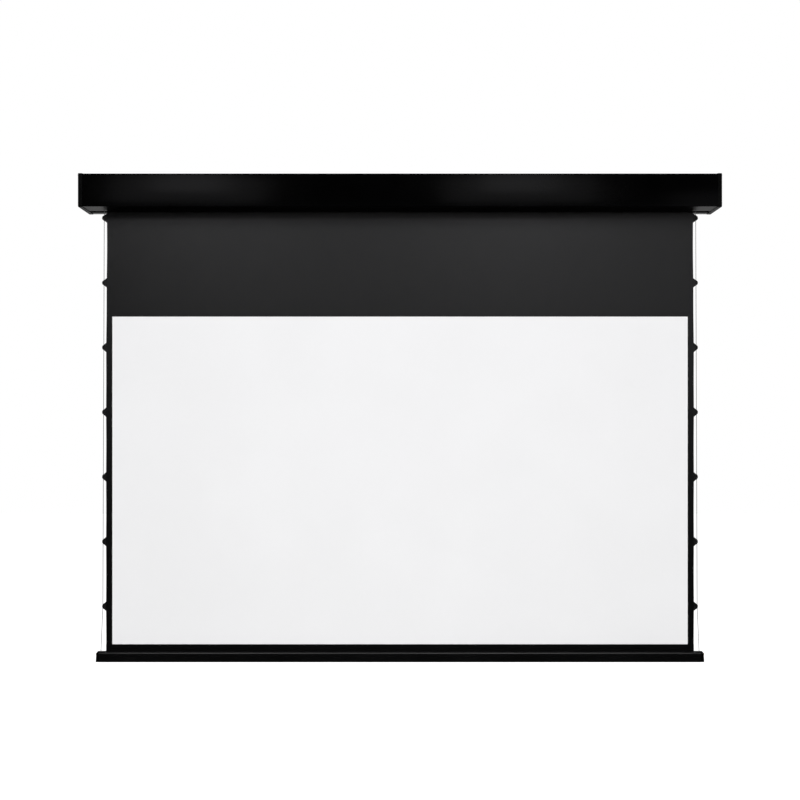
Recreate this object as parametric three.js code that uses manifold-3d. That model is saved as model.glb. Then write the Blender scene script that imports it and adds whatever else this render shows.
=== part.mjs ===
// Tab-tensioned drop-down projector screen, let down, as it hangs on a wall.
// Millimetres. +X is to the right of a viewer, +Y goes into the wall, +Z is up.
// The origin is on the wall, in the middle of the flat land along the back of the case.
import * as THREE from 'three';
import { mergeVertices } from 'three/addons/utils/BufferGeometryUtils.js';
import Module from 'manifold-3d';

// Case, which is longer than the weight bar by a room at each end
const CASE_END_ROOM = 41;
const CASE_DEPTH = 130;
const CASE_HEIGHT = 124;
const CASE_WALL = 2;
const CASE_EDGE_RADIUS = 2;
const CASE_FOOT_RADIUS = 0.5;
const SLOT_WIDTH = 30;
const LIP_HEIGHT = 10;
const LEDGE_DEPTH = 10;
const PORT_RADIUS = 5;
const FRONT_PORT_HEIGHT = 14;

// Channel along the back of the case, where it hooks on the brackets
const CHANNEL_DEPTH = 6;
const CHANNEL_BOTTOM = 34;
const CHANNEL_TOP = 100;
const HOOK_DROP = 8;
const HOOK_THICKNESS = 2.5;

// End caps
const CAP_THICKNESS = 16;
const CAP_WALL = 3;
const CAP_PROUD = 1.8;
const CAP_FRONT_PROUD = 1;
const CAP_EDGE_RADIUS = 3;
const CAP_CORNER_RADIUS = 1;
const CAP_BOSS_RADIUS = 6;
const CAP_RIB_PITCH = 8;
const CAP_RIB_GROOVE = 4;
const CAP_RIB_DEPTH = 1.2;
const CAP_SCREW_RADIUS = 2;
const CAP_SCREW_HEAD_RADIUS = 4;
const CAP_SCREW_HEAD_HEIGHT = 1;
const CAP_SCREW_REACH = 24;

// Steel end plates
const PLATE_THICKNESS = 3;
const LUG_LENGTH = 22;
const LUG_WIDTH = 26;
const LUG_DEPTH_PLACE = 44;

// Access cover and its screws
const COVER_HOOK_RISE = 2;
const COVER_HOOK_FRONT = 5;
const COVER_SCREW_RADIUS = 2;
const COVER_SCREW_HEAD_RADIUS = 3.6;
const COVER_SCREW_LENGTH = 10;

// Roller
const ROLLER_DEPTH_PLACE = 52.5;
const ROLLER_DROP = 49;
const TUBE_RADIUS = 35;
const TUBE_WALL = 2;
const TUBE_END_GAP = 43;
const TURNS_AT_REST = 2;

// Motor, at the left
const MOTOR_RADIUS = 22.5;
const MOTOR_LENGTH = 525;
const MOTOR_HEAD_RADIUS = 29;
const MOTOR_HEAD_LENGTH = 30;
const MOTOR_HEAD_CHAMFER = 3;
const FLANGE_THICKNESS = 4;
const PLUG_LENGTH = 24;
const SHAFT_RADIUS = 8;
const SHAFT_LENGTH = 46;
const SHAFT_SOCKET = 20;
const WHEEL_THICKNESS = 22;

// Idler, at the right
const IDLER_RADIUS = 6;
const IDLER_PLUG_LENGTH = 40;
const BEARING_RADIUS = 14;
const BEARING_WIDTH = 10;
const HOUSING_RADIUS = 22;
const HOUSING_FLOOR = 3;

// Control box and leads, behind the roller at the left
const BOX_LENGTH = 190;
const BOX_HEIGHT = 52;
const BOX_DEPTH = 19;
const BOX_END_GAP = 70;
const BOX_BASE = 48;
const LEAD_RADIUS = 3;
const LEAD_ROOM = 2;
const LEAD_START = 9;
const LEAD_END = 14;
const LEAD_EDGE_GAP = 9;
const INLET_WIDTH = 32;
const INLET_HEIGHT = 24;
const INLET_DEPTH = 12;
const INLET_WALL = 2.5;
const INLET_BACK_GAP = 28;
const INLET_HEIGHT_PLACE = 34;
const INLET_PIN_SPACING = 8;
const INLET_PIN_HEIGHT = 8;

// Sheet
const PICTURE_WIDTH = 2214;
const PICTURE_HEIGHT = 1260.6;
const BLACK_DROP = 403;
const SIDE_BORDER = 24;
const BOTTOM_BORDER = 28.5;
const SHEET_THICKNESS = 0.5;

// Tabs and tension cords
const TAB_PITCH = 249;
const TAB_REACH = 15.5;
const TAB_BASE = 37;
const TAB_THICKNESS = 4;
const TAB_WELD_WIDTH = 16;
const TAB_WELD_THICKNESS = 0.6;
const TAB_FLANK_REACH = 0.6;
const TAB_FLANK_HEIGHT = 0.22;
const TAB_SHOULDER_HEIGHT = 0.26;
const LAST_TAB_HEIGHT = 174.5;
const CORD_RADIUS = 1.1;
const CORD_OFFSET_FIRST_TAB = 7;
const CORD_OFFSET_LAST_TAB = 12.5;
const CORD_OFFSET_BAR = 20;
const CORD_TURNS_WIDTH = 4.6;

// Weight bar, which stands out past both edges of the sheet
const BAR_OVERHANG = 37;
const BAR_HEIGHT = 38;
const BAR_DEPTH = 24;
const BAR_WALL = 1.8;
const BAR_FRONT_RADIUS = 7;
const BAR_BACK_RADIUS = 3;
const BAR_FOOT_RADIUS = 1;
const BAR_SLOT = 3;
const BAR_CAP_THICKNESS = 12;
const BAR_CAP_CORNER = 7;
const BAR_CAP_LEAN = 2;
const BAR_CAP_FOOT_RADIUS = 2.5;
const BAR_CAP_TONGUE = 24;
const BAR_CAP_TONGUE_THICKNESS = 1.2;
const BAR_CAP_TONGUE_INSET = 4;
const BAR_CAP_SPIGOT = 14;
const HEM_ROD_RADIUS = 3;
const HEM_WALL = 0.7;
const HEM_CHANNEL_DEPTH = 9.5;
const BALLAST_RADIUS = 7;
const ANCHOR_LENGTH = 16;
const TENSION_SCREW_RADIUS = 2;
const TENSION_SCREW_HEAD_RADIUS = 3.5;
const TENSION_SCREW_HEAD_HEIGHT = 1.6;

// Wall brackets
const BRACKET_INSET = 393;
const BRACKET_WIDTH = 70;
const BRACKET_THICKNESS = 3;
const BRACKET_HOLE_RADIUS = 3.2;
const BRACKET_HOLE_SPACING = 40;

// Clearance between pieces that fit together, clearance round a thread, and an overlap that makes a
// join or cut clean
const FIT = 0.3;
const THREAD_FIT = 0.1;
const OVERLAP = 1;

// Sides of the round pieces, and steps along curves
const ROLL_SIDES = 64;
const TUBE_SIDES = 48;
const ROUND_SIDES = 32;
const ROD_SIDES = 24;
const SMALL_SIDES = 16;
const HOLE_SIDES = 12;
const EDGE_STEPS = 4;
const BEVEL_STEPS = 3;
const TAB_STEPS = 6;
const BAR_CAP_STEPS = 5;
const LEAD_STEPS = 14;

// Places that follow from the sizes above. A depth counts back from the front of the case, and a
// height counts up from its underside. depthY and heightZ turn them into the part's own frame.
const HANGING_HEIGHT = (CASE_HEIGHT + CHANNEL_TOP - HOOK_DROP) / 2;
const depthY = (depth) => depth - CASE_DEPTH;
const heightZ = (height) => height - HANGING_HEIGHT;
const SHEET_HALF = PICTURE_WIDTH / 2 + SIDE_BORDER;
const BAR_LENGTH = 2 * (SHEET_HALF + BAR_OVERHANG);
const CASE_LENGTH = BAR_LENGTH + 2 * CASE_END_ROOM;
const CASE_HALF = CASE_LENGTH / 2 - CAP_THICKNESS;
const PORT_INSET = PORT_RADIUS + CASE_WALL / 2;
const ROLLER_HEIGHT = CASE_HEIGHT - ROLLER_DROP;
const INLET_DEPTH_PLACE = CASE_DEPTH - INLET_BACK_GAP;
const PLATE_INSET = CASE_WALL + FIT;
const ROLL_INNER_RADIUS = TUBE_RADIUS + FIT;
const ROLL_RADIUS = ROLL_INNER_RADIUS + TURNS_AT_REST * SHEET_THICKNESS;
const SHEET_FRONT = ROLLER_DEPTH_PLACE + ROLL_RADIUS + FIT;
const SHEET_DEPTH_PLACE = SHEET_FRONT + SHEET_THICKNESS / 2;
const SLOT_FRONT = SHEET_DEPTH_PLACE - SLOT_WIDTH / 2;
const SLOT_REAR = SHEET_DEPTH_PLACE + SLOT_WIDTH / 2;
const TUBE_HALF = CASE_HALF - TUBE_END_GAP;
const BAR_TOP = -(BLACK_DROP + PICTURE_HEIGHT + BOTTOM_BORDER);
const BAR_HALF = BAR_LENGTH / 2 - BAR_CAP_THICKNESS;
const HEM_RADIUS = HEM_ROD_RADIUS + FIT + HEM_WALL;
const HEM_CHANNEL_RADIUS = HEM_RADIUS + FIT;
const HEM_HEIGHT = BAR_TOP - HEM_CHANNEL_DEPTH;
const BAR_CAVITY_TOP = HEM_HEIGHT - HEM_CHANNEL_RADIUS - BAR_WALL;
const BAR_CAVITY_BOTTOM = BAR_TOP - BAR_HEIGHT + BAR_WALL;
const TAB_COUNT = Math.floor((-BAR_TOP - LAST_TAB_HEIGHT - TAB_BASE / 2) / TAB_PITCH) + 1;

// Materials
const finish = (color, roughness, metalness = 0) =>
  new THREE.MeshStandardMaterial({ color, roughness, metalness });
const BLACK_COAT = finish(0x0c0c0e, 0.34, 0.1);
const BLACK_PLASTIC = finish(0x101012, 0.55);
const BLACK_CLOTH = finish(0x151516, 0.8);
const WHITE_SCREEN = finish(0xf2f3f4, 0.9);
const CORD_GREY = finish(0xc9c9c9, 0.5);
const STEEL = finish(0x9a9da1, 0.4, 0.9);
const GALVANISED = finish(0x8f9498, 0.55, 0.8);
const ALUMINIUM = finish(0xb9bcc0, 0.38, 0.9);
const MOTOR_GREY = finish(0x55585c, 0.45, 0.6);
const BRASS = finish(0xb08d4a, 0.4, 0.9);
const BLACK_RUBBER = finish(0x0e0e0e, 0.85);

// Solids, joined and cut
const wasm = await Module();
wasm.setup();

function solidOf(geometry) {
  const bare = geometry.clone();
  bare.deleteAttribute('normal');
  bare.deleteAttribute('uv');
  const merged = mergeVertices(bare, 1e-4);
  return new wasm.Manifold(new wasm.Mesh({
    numProp: 3,
    vertProperties: new Float32Array(merged.attributes.position.array),
    triVerts: new Uint32Array(merged.index.array),
  }));
}

function geometryOf(solid) {
  const mesh = solid.getMesh();
  const geometry = new THREE.BufferGeometry();
  geometry.setAttribute('position', new THREE.BufferAttribute(new Float32Array(mesh.vertProperties), 3));
  geometry.setIndex(new THREE.BufferAttribute(new Uint32Array(mesh.triVerts), 1));
  const faceted = geometry.toNonIndexed();
  faceted.computeVertexNormals();
  return faceted;
}

function join(...geometries) {
  return geometryOf(geometries.map(solidOf).reduce((whole, piece) => whole.add(piece)));
}

function cut(geometry, ...tools) {
  return geometryOf(tools.map(solidOf).reduce((whole, tool) => whole.subtract(tool), solidOf(geometry)));
}

function overlapOf(one, other) {
  return geometryOf(solidOf(one).intersect(solidOf(other)));
}

// Shapes in the part's own frame. Each span is [from, to].
function block([x0, x1], [y0, y1], [z0, z1]) {
  const geometry = new THREE.BoxGeometry(x1 - x0, y1 - y0, z1 - z0);
  return geometry.translate((x0 + x1) / 2, (y0 + y1) / 2, (z0 + z1) / 2);
}

// The span of a size set evenly about a middle.
const around = (middle, size) => [middle - size / 2, middle + size / 2];

// An outline drawn in Y and Z, run along X.
function runAlongX(shape, [x0, x1], curveSegments = EDGE_STEPS) {
  const geometry = new THREE.ExtrudeGeometry(shape, { depth: x1 - x0, bevelEnabled: false, curveSegments });
  return geometry.applyMatrix4(UP_AND_INTO_WALL).translate(x0, 0, 0);
}

const UP_AND_INTO_WALL = new THREE.Matrix4().makeBasis(
  new THREE.Vector3(0, 1, 0), new THREE.Vector3(0, 0, 1), new THREE.Vector3(1, 0, 0));

// An outline drawn in X and Z, run along Y.
function runIntoWall(shape, [y0, y1], curveSegments = EDGE_STEPS) {
  const geometry = new THREE.ExtrudeGeometry(shape, { depth: y1 - y0, bevelEnabled: false, curveSegments });
  return geometry.rotateX(Math.PI / 2).translate(0, y1, 0);
}

function outline(points) {
  return new THREE.Shape(points.map(([y, z]) => new THREE.Vector2(y, z)));
}

function roundedOutline([y0, y1], [z0, z1], topRadius, bottomRadius = topRadius,
  frontTopRadius = topRadius) {
  const shape = new THREE.Shape();
  shape.moveTo(y0 + bottomRadius, z0);
  shape.lineTo(y1 - bottomRadius, z0);
  shape.absarc(y1 - bottomRadius, z0 + bottomRadius, bottomRadius, -Math.PI / 2, 0);
  shape.lineTo(y1, z1 - topRadius);
  shape.absarc(y1 - topRadius, z1 - topRadius, topRadius, 0, Math.PI / 2);
  shape.lineTo(y0 + frontTopRadius, z1);
  shape.absarc(y0 + frontTopRadius, z1 - frontTopRadius, frontTopRadius, Math.PI / 2, Math.PI);
  shape.lineTo(y0, z0 + bottomRadius);
  shape.absarc(y0 + bottomRadius, z0 + bottomRadius, bottomRadius, Math.PI, Math.PI * 1.5);
  return shape;
}

// A profile of [radius, x] points turned about the X axis through (y, z).
function turned(profile, [y, z], sides = ROUND_SIDES) {
  const points = profile.map(([radius, x]) => new THREE.Vector2(radius, -x));
  const geometry = new THREE.LatheGeometry(points.reverse(), sides);
  return geometry.rotateZ(Math.PI / 2).translate(0, y, z);
}

function rod(radius, [x0, x1], centre, sides = ROD_SIDES) {
  return turned([[0, x0], [radius, x0], [radius, x1], [0, x1]], centre, sides);
}

function ring(outer, inner, [x0, x1], centre, sides = TUBE_SIDES) {
  return turned([[inner, x0], [outer, x0], [outer, x1], [inner, x1], [inner, x0]], centre, sides);
}

// An upright round piece: a profile of [radius, z] points turned about the Z axis through (x, y).
function upright(profile, [x, y], sides = SMALL_SIDES) {
  const points = profile.map(([radius, z]) => new THREE.Vector2(radius, z));
  return new THREE.LatheGeometry(points, sides).rotateX(Math.PI / 2).translate(x, y, 0);
}

// The left-hand twin of a right-hand piece.
function mirrored(geometry) {
  const twin = (geometry.index ? geometry.toNonIndexed() : geometry.clone()).scale(-1, 1, 1);
  const place = twin.attributes.position;
  const corner = new THREE.Vector3();
  const other = new THREE.Vector3();
  for (let i = 0; i < place.count; i += 3) {
    corner.fromBufferAttribute(place, i + 1);
    other.fromBufferAttribute(place, i + 2);
    place.setXYZ(i + 1, other.x, other.y, other.z);
    place.setXYZ(i + 2, corner.x, corner.y, corner.z);
  }
  twin.computeVertexNormals();
  return twin;
}

const screen = new THREE.Group();

function add(name, geometry, material) {
  const mesh = new THREE.Mesh(geometry, material);
  mesh.name = name;
  screen.add(mesh);
}

function addPair(name, geometry, material) {
  add(`${name}_right`, geometry, material);
  add(`${name}_left`, mirrored(geometry), material);
}

// Screw ports run the length of the housing, in its four corners.
const PORTS = [
  [PORT_INSET, FRONT_PORT_HEIGHT],
  [PORT_INSET, CASE_HEIGHT - PORT_INSET],
  [CASE_DEPTH - PORT_INSET, CASE_HEIGHT - PORT_INSET],
  [CASE_DEPTH - PORT_INSET, PORT_INSET],
].map(([depth, height]) => [depthY(depth), heightZ(height)]);

const INLET_PLACE = [depthY(INLET_DEPTH_PLACE), heightZ(INLET_HEIGHT_PLACE)];

function caseHousing() {
  const span = [-CASE_HALF, CASE_HALF];
  const past = [-CASE_HALF - OVERLAP, CASE_HALF + OVERLAP];
  const inside = depthY(CASE_WALL);
  const section = roundedOutline([depthY(0), depthY(CASE_DEPTH)], [heightZ(0), heightZ(CASE_HEIGHT)],
    CASE_EDGE_RADIUS, CASE_FOOT_RADIUS);
  const shell = runAlongX(section, span);
  const hollow = block(past, [inside, depthY(CASE_DEPTH - CASE_WALL)],
    [heightZ(CASE_WALL), heightZ(CASE_HEIGHT - CASE_WALL)]);
  const mouth = block(past, [inside, depthY(SLOT_REAR)], [heightZ(-OVERLAP), heightZ(CASE_WALL + OVERLAP)]);
  const lip = block(span, [depthY(SLOT_REAR), depthY(SLOT_REAR + CASE_WALL)],
    [heightZ(OVERLAP), heightZ(LIP_HEIGHT)]);
  const ledge = block(span, [depthY(OVERLAP), depthY(LEDGE_DEPTH)],
    [heightZ(CASE_WALL + FIT), heightZ(2 * CASE_WALL + FIT)]);
  const portBosses = PORTS.map((centre) => rod(PORT_RADIUS, span, centre, SMALL_SIDES));
  const portBores = PORTS.map((centre) => rod(CAP_SCREW_RADIUS + THREAD_FIT, past, centre, HOLE_SIDES));

  const channelWall = block(span,
    [depthY(CASE_DEPTH - CHANNEL_DEPTH - CASE_WALL), depthY(CASE_DEPTH - OVERLAP)],
    [heightZ(CHANNEL_BOTTOM - CASE_WALL), heightZ(CHANNEL_TOP + CASE_WALL)]);
  const channel = block(past, [depthY(CASE_DEPTH - CHANNEL_DEPTH), depthY(CASE_DEPTH + OVERLAP)],
    [heightZ(CHANNEL_BOTTOM), heightZ(CHANNEL_TOP)]);
  const hook = block(span, [depthY(CASE_DEPTH - HOOK_THICKNESS), depthY(CASE_DEPTH)],
    [heightZ(CHANNEL_TOP - HOOK_DROP), heightZ(CHANNEL_TOP + OVERLAP)]);

  const open = cut(shell, hollow, mouth);
  const walled = join(open, lip, ledge, channelWall, ...portBosses);
  return join(cut(walled, channel, ...portBores), hook);
}

// The cover lies under the ledge of the housing and hooks over it.
function accessCover() {
  const half = CASE_HALF - FIT;
  const hookBack = LEDGE_DEPTH + FIT + CASE_WALL;
  const hookBase = 2 * CASE_WALL + 2 * FIT;
  const section = outline([
    [CASE_WALL + FIT, 0],
    [SLOT_FRONT, 0],
    [SLOT_FRONT, LIP_HEIGHT],
    [SLOT_FRONT - CASE_WALL, LIP_HEIGHT],
    [SLOT_FRONT - CASE_WALL, CASE_WALL],
    [hookBack, CASE_WALL],
    [hookBack, hookBase + COVER_HOOK_RISE],
    [COVER_HOOK_FRONT, hookBase + COVER_HOOK_RISE],
    [COVER_HOOK_FRONT, hookBase],
    [hookBack - CASE_WALL, hookBase],
    [hookBack - CASE_WALL, CASE_WALL],
    [CASE_WALL + FIT, CASE_WALL],
  ].map(([depth, height]) => [depthY(depth), heightZ(height)]));
  const cover = runAlongX(section, [-half, half]);
  const foot = heightZ(0) - OVERLAP;
  const sinks = [-1, 1].map((side) =>
    upright([[0, foot], [COVER_SCREW_HEAD_RADIUS + FIT, foot], ...countersunk(FIT)], lugPlace(side)));
  return cut(cover, ...sinks);
}

// The outline of a countersunk screw from the rim of its head up, widened by a clearance.
function countersunk(clearance = 0) {
  const foot = heightZ(0);
  const head = COVER_SCREW_HEAD_RADIUS + clearance;
  const shank = COVER_SCREW_RADIUS + clearance;
  return [
    [head, foot],
    [shank, foot + head - shank],
    [shank, foot + COVER_SCREW_LENGTH],
    [0, foot + COVER_SCREW_LENGTH],
  ];
}

function coverScrew(side) {
  return upright([[0, heightZ(0)], ...countersunk()], lugPlace(side));
}

function lugPlace(side) {
  return [side * (CASE_HALF - LUG_LENGTH / 2), depthY(LUG_DEPTH_PLACE)];
}

// A steel plate closes each end of the housing and has a lug folded inwards for the cover.
function endPlate() {
  const outerY = [depthY(PLATE_INSET), depthY(CASE_DEPTH - PLATE_INSET)];
  const outerZ = [heightZ(PLATE_INSET), heightZ(CASE_HEIGHT - PLATE_INSET)];
  const sheet = block([CASE_HALF, CASE_HALF + PLATE_THICKNESS], outerY, outerZ);
  const [lugX, lugY] = lugPlace(1);
  const lugFoot = heightZ(PLATE_INSET);
  const lug = block([CASE_HALF - LUG_LENGTH, CASE_HALF + PLATE_THICKNESS],
    [lugY - LUG_WIDTH / 2, lugY + LUG_WIDTH / 2], [lugFoot, lugFoot + PLATE_THICKNESS]);
  const lugHole = upright([
    [0, lugFoot - OVERLAP],
    [COVER_SCREW_RADIUS + FIT, lugFoot - OVERLAP],
    [COVER_SCREW_RADIUS + FIT, lugFoot + PLATE_THICKNESS + OVERLAP],
    [0, lugFoot + PLATE_THICKNESS + OVERLAP],
  ], [lugX, lugY]);
  const past = [CASE_HALF - OVERLAP, CASE_HALF + PLATE_THICKNESS + OVERLAP];
  const screwHoles = PORTS.map((centre) => rod(CAP_SCREW_RADIUS + FIT, past, centre, HOLE_SIDES));
  const leadHole = rod(LEAD_RADIUS + LEAD_ROOM, past, INLET_PLACE, HOLE_SIDES);
  return cut(join(sheet, lug), lugHole, leadHole, ...screwHoles);
}

// A moulded cap, hollow behind, with its four screws and a ribbed band underneath.
function endCap() {
  const face = CASE_HALF + CAP_THICKNESS;
  const spanY = [depthY(-CAP_FRONT_PROUD), depthY(CASE_DEPTH)];
  const spanZ = [heightZ(-CAP_PROUD), heightZ(CASE_HEIGHT + CAP_PROUD)];
  const edge = CAP_EDGE_RADIUS;
  const body = runAlongX(roundedOutline(spanY, spanZ, edge), [CASE_HALF, face - edge]);
  const shrunk = roundedOutline([spanY[0] + edge, spanY[1] - edge], [spanZ[0] + edge, spanZ[1] - edge],
    CAP_CORNER_RADIUS);
  const crown = new THREE.ExtrudeGeometry(shrunk, {
    depth: OVERLAP, bevelSize: edge, bevelThickness: edge,
    bevelSegments: BEVEL_STEPS, curveSegments: EDGE_STEPS,
  });
  crown.applyMatrix4(UP_AND_INTO_WALL).translate(face - edge - OVERLAP, 0, 0);

  const plateRoom = block([CASE_HALF - OVERLAP, CASE_HALF + PLATE_THICKNESS + FIT],
    [depthY(PLATE_INSET - FIT), depthY(CASE_DEPTH - PLATE_INSET + FIT)],
    [heightZ(PLATE_INSET - FIT), heightZ(CASE_HEIGHT - PLATE_INSET + FIT)]);
  const rim = PLATE_INSET + CAP_WALL;
  const hollow = block([CASE_HALF, face - CAP_WALL], [depthY(rim), depthY(CASE_DEPTH - rim)],
    [heightZ(rim), heightZ(CASE_HEIGHT - rim)]);
  const bossSpan = [CASE_HALF + PLATE_THICKNESS + FIT, face - CAP_WALL + OVERLAP];
  const shankSpan = [CASE_HALF - CAP_SCREW_REACH, face];
  const headSpan = [face - OVERLAP, face + CAP_SCREW_HEAD_HEIGHT];
  const bosses = PORTS.map((centre) => rod(CAP_BOSS_RADIUS, bossSpan, centre, SMALL_SIDES));
  const shanks = PORTS.map((centre) => rod(CAP_SCREW_RADIUS, shankSpan, centre, HOLE_SIDES));
  const heads = PORTS.map((centre) => rod(CAP_SCREW_HEAD_RADIUS, headSpan, centre, SMALL_SIDES));

  const grooves = [];
  const ribCount = Math.floor((CASE_DEPTH - 2 * edge) / CAP_RIB_PITCH);
  for (let i = 0; i < ribCount; i += 1) {
    const y = depthY(edge + i * CAP_RIB_PITCH + (CAP_RIB_PITCH - CAP_RIB_GROOVE) / 2);
    grooves.push(block([CASE_HALF + CAP_WALL, face - edge], [y, y + CAP_RIB_GROOVE],
      [spanZ[0] - OVERLAP, spanZ[0] + CAP_RIB_DEPTH]));
  }
  const inletHole = block([CASE_HALF + OVERLAP, face + OVERLAP],
    around(INLET_PLACE[0], INLET_WIDTH + 2 * FIT), around(INLET_PLACE[1], INLET_HEIGHT + 2 * FIT));

  const moulding = cut(join(body, crown), plateRoom, hollow, ...grooves);
  const right = join(moulding, ...bosses, ...shanks, ...heads);
  return { right, left: mirrored(cut(right, inletHole)) };
}

// The power inlet sits in the left end cap, flush with its face.
function powerInlet() {
  const face = -CASE_HALF - CAP_THICKNESS;
  const [y, z] = INLET_PLACE;
  const body = block([face, face + INLET_DEPTH], around(y, INLET_WIDTH), around(z, INLET_HEIGHT));
  const recess = block([face - OVERLAP, face + INLET_DEPTH - INLET_WALL],
    around(y, INLET_WIDTH - 2 * INLET_WALL), around(z, INLET_HEIGHT - 2 * INLET_WALL));
  const pins = [-1, 0, 1].map((place) =>
    block([face + INLET_WALL, face + INLET_DEPTH - OVERLAP],
      around(y + place * INLET_PIN_SPACING, INLET_WALL), around(z, INLET_PIN_HEIGHT)));
  return join(cut(body, recess), ...pins);
}

const AXIS = [depthY(ROLLER_DEPTH_PLACE), heightZ(ROLLER_HEIGHT)];

// The motor is held by its head at the left end plate. Only its shaft turns.
function motor() {
  const start = -CASE_HALF;
  const headEnd = start + MOTOR_HEAD_LENGTH;
  const bodyEnd = headEnd + MOTOR_LENGTH;
  const head = turned([
    [0, start],
    [MOTOR_HEAD_RADIUS, start],
    [MOTOR_HEAD_RADIUS, headEnd - MOTOR_HEAD_CHAMFER],
    [MOTOR_HEAD_RADIUS - MOTOR_HEAD_CHAMFER, headEnd],
    [0, headEnd],
  ], AXIS);
  const body = turned([
    [0, headEnd],
    [MOTOR_RADIUS, headEnd],
    [MOTOR_RADIUS, bodyEnd],
    [SHAFT_RADIUS + FIT, bodyEnd],
    [SHAFT_RADIUS + FIT, bodyEnd - SHAFT_SOCKET],
    [0, bodyEnd - SHAFT_SOCKET],
  ], AXIS);
  const shaftStart = bodyEnd - SHAFT_SOCKET + FIT;
  const shaft = rod(SHAFT_RADIUS, [shaftStart, shaftStart + SHAFT_LENGTH], AXIS);
  const wheelEnd = shaftStart + SHAFT_LENGTH - FIT;
  const wheelSpan = [wheelEnd - WHEEL_THICKNESS, wheelEnd];
  const wheel = ring(TUBE_RADIUS - TUBE_WALL - FIT, SHAFT_RADIUS + FIT, wheelSpan, AXIS);
  add('motor_head', head, BLACK_PLASTIC);
  add('tubular_motor', body, MOTOR_GREY);
  add('motor_shaft', shaft, STEEL);
  add('drive_wheel', wheel, BLACK_PLASTIC);
}

function roller() {
  const bore = TUBE_RADIUS - TUBE_WALL;
  add('roller_tube', ring(TUBE_RADIUS, bore, [-TUBE_HALF, TUBE_HALF], AXIS), ALUMINIUM);
  add('motor_crown', turned([
    [MOTOR_RADIUS + FIT, -TUBE_HALF - FIT - FLANGE_THICKNESS],
    [TUBE_RADIUS, -TUBE_HALF - FIT - FLANGE_THICKNESS],
    [TUBE_RADIUS, -TUBE_HALF - FIT],
    [bore - FIT, -TUBE_HALF - FIT],
    [bore - FIT, -TUBE_HALF + PLUG_LENGTH],
    [MOTOR_RADIUS + FIT, -TUBE_HALF + PLUG_LENGTH],
    [MOTOR_RADIUS + FIT, -TUBE_HALF - FIT - FLANGE_THICKNESS],
  ], AXIS), BLACK_PLASTIC);
  add('idler_plug', turned([
    [IDLER_RADIUS + FIT, TUBE_HALF - IDLER_PLUG_LENGTH],
    [bore - FIT, TUBE_HALF - IDLER_PLUG_LENGTH],
    [bore - FIT, TUBE_HALF + FIT],
    [TUBE_RADIUS, TUBE_HALF + FIT],
    [TUBE_RADIUS, TUBE_HALF + FIT + FLANGE_THICKNESS],
    [IDLER_RADIUS + FIT, TUBE_HALF + FIT + FLANGE_THICKNESS],
    [IDLER_RADIUS + FIT, TUBE_HALF - IDLER_PLUG_LENGTH],
  ], AXIS), BLACK_PLASTIC);
  const housingFloor = CASE_HALF - HOUSING_FLOOR;
  const bearingFace = housingFloor - FIT - BEARING_WIDTH;
  add('idler_shaft', rod(IDLER_RADIUS, [TUBE_HALF - IDLER_PLUG_LENGTH, housingFloor - FIT], AXIS), STEEL);
  add('idler_bearing',
    ring(BEARING_RADIUS, IDLER_RADIUS + FIT, [bearingFace, housingFloor - FIT], AXIS, ROUND_SIDES), STEEL);
  add('bearing_housing', turned([
    [0, CASE_HALF],
    [0, housingFloor],
    [BEARING_RADIUS + FIT, housingFloor],
    [BEARING_RADIUS + FIT, bearingFace],
    [HOUSING_RADIUS, bearingFace],
    [HOUSING_RADIUS, CASE_HALF],
    [0, CASE_HALF],
  ], AXIS), BLACK_PLASTIC);
  add('fabric_roll',
    ring(ROLL_RADIUS, ROLL_INNER_RADIUS, [-SHEET_HALF, SHEET_HALF], AXIS, ROLL_SIDES), BLACK_CLOTH);
  const turnsStart = SHEET_HALF + CORD_OFFSET_FIRST_TAB + CORD_RADIUS + FIT;
  addPair('cord_turns', ring(ROLL_INNER_RADIUS + 2 * CORD_RADIUS, ROLL_INNER_RADIUS,
    [turnsStart, turnsStart + CORD_TURNS_WIDTH], AXIS, ROUND_SIDES), CORD_GREY);
}

// The sheet hangs in one plane, off the back of the roll, and ends in a hem around a rod.
const SHEET_SPAN_Y = [depthY(SHEET_FRONT), depthY(SHEET_FRONT + SHEET_THICKNESS)];

function sheet() {
  const across = (height0, height1) => [heightZ(height0), heightZ(height1)];
  const pictureTop = -BLACK_DROP;
  const pictureBottom = pictureTop - PICTURE_HEIGHT;
  const whole = [-SHEET_HALF, SHEET_HALF];
  const picture = [-PICTURE_WIDTH / 2, PICTURE_WIDTH / 2];
  add('black_drop', block(whole, SHEET_SPAN_Y, across(pictureTop, ROLLER_HEIGHT)), BLACK_CLOTH);
  add('viewing_surface', block(picture, SHEET_SPAN_Y, across(pictureBottom, pictureTop)), WHITE_SCREEN);
  addPair('side_border',
    block([PICTURE_WIDTH / 2, SHEET_HALF], SHEET_SPAN_Y, across(pictureBottom, pictureTop)), BLACK_CLOTH);
  const strip = block(whole, SHEET_SPAN_Y, across(HEM_HEIGHT + HEM_RADIUS - HEM_WALL / 2, pictureBottom));
  const hem = ring(HEM_RADIUS, HEM_RADIUS - HEM_WALL, whole, HEM_CENTRE, SMALL_SIDES);
  add('bottom_border', join(strip, hem), BLACK_CLOTH);
}

// Heights of the tabs, from the lowest up, and how far outside the sheet the cord passes each.
const tabHeight = (i) => BAR_TOP + LAST_TAB_HEIGHT + i * TAB_PITCH;
const cordOffsetAtTab = (i) =>
  CORD_OFFSET_LAST_TAB + (CORD_OFFSET_FIRST_TAB - CORD_OFFSET_LAST_TAB) * i / Math.max(1, TAB_COUNT - 1);

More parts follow.
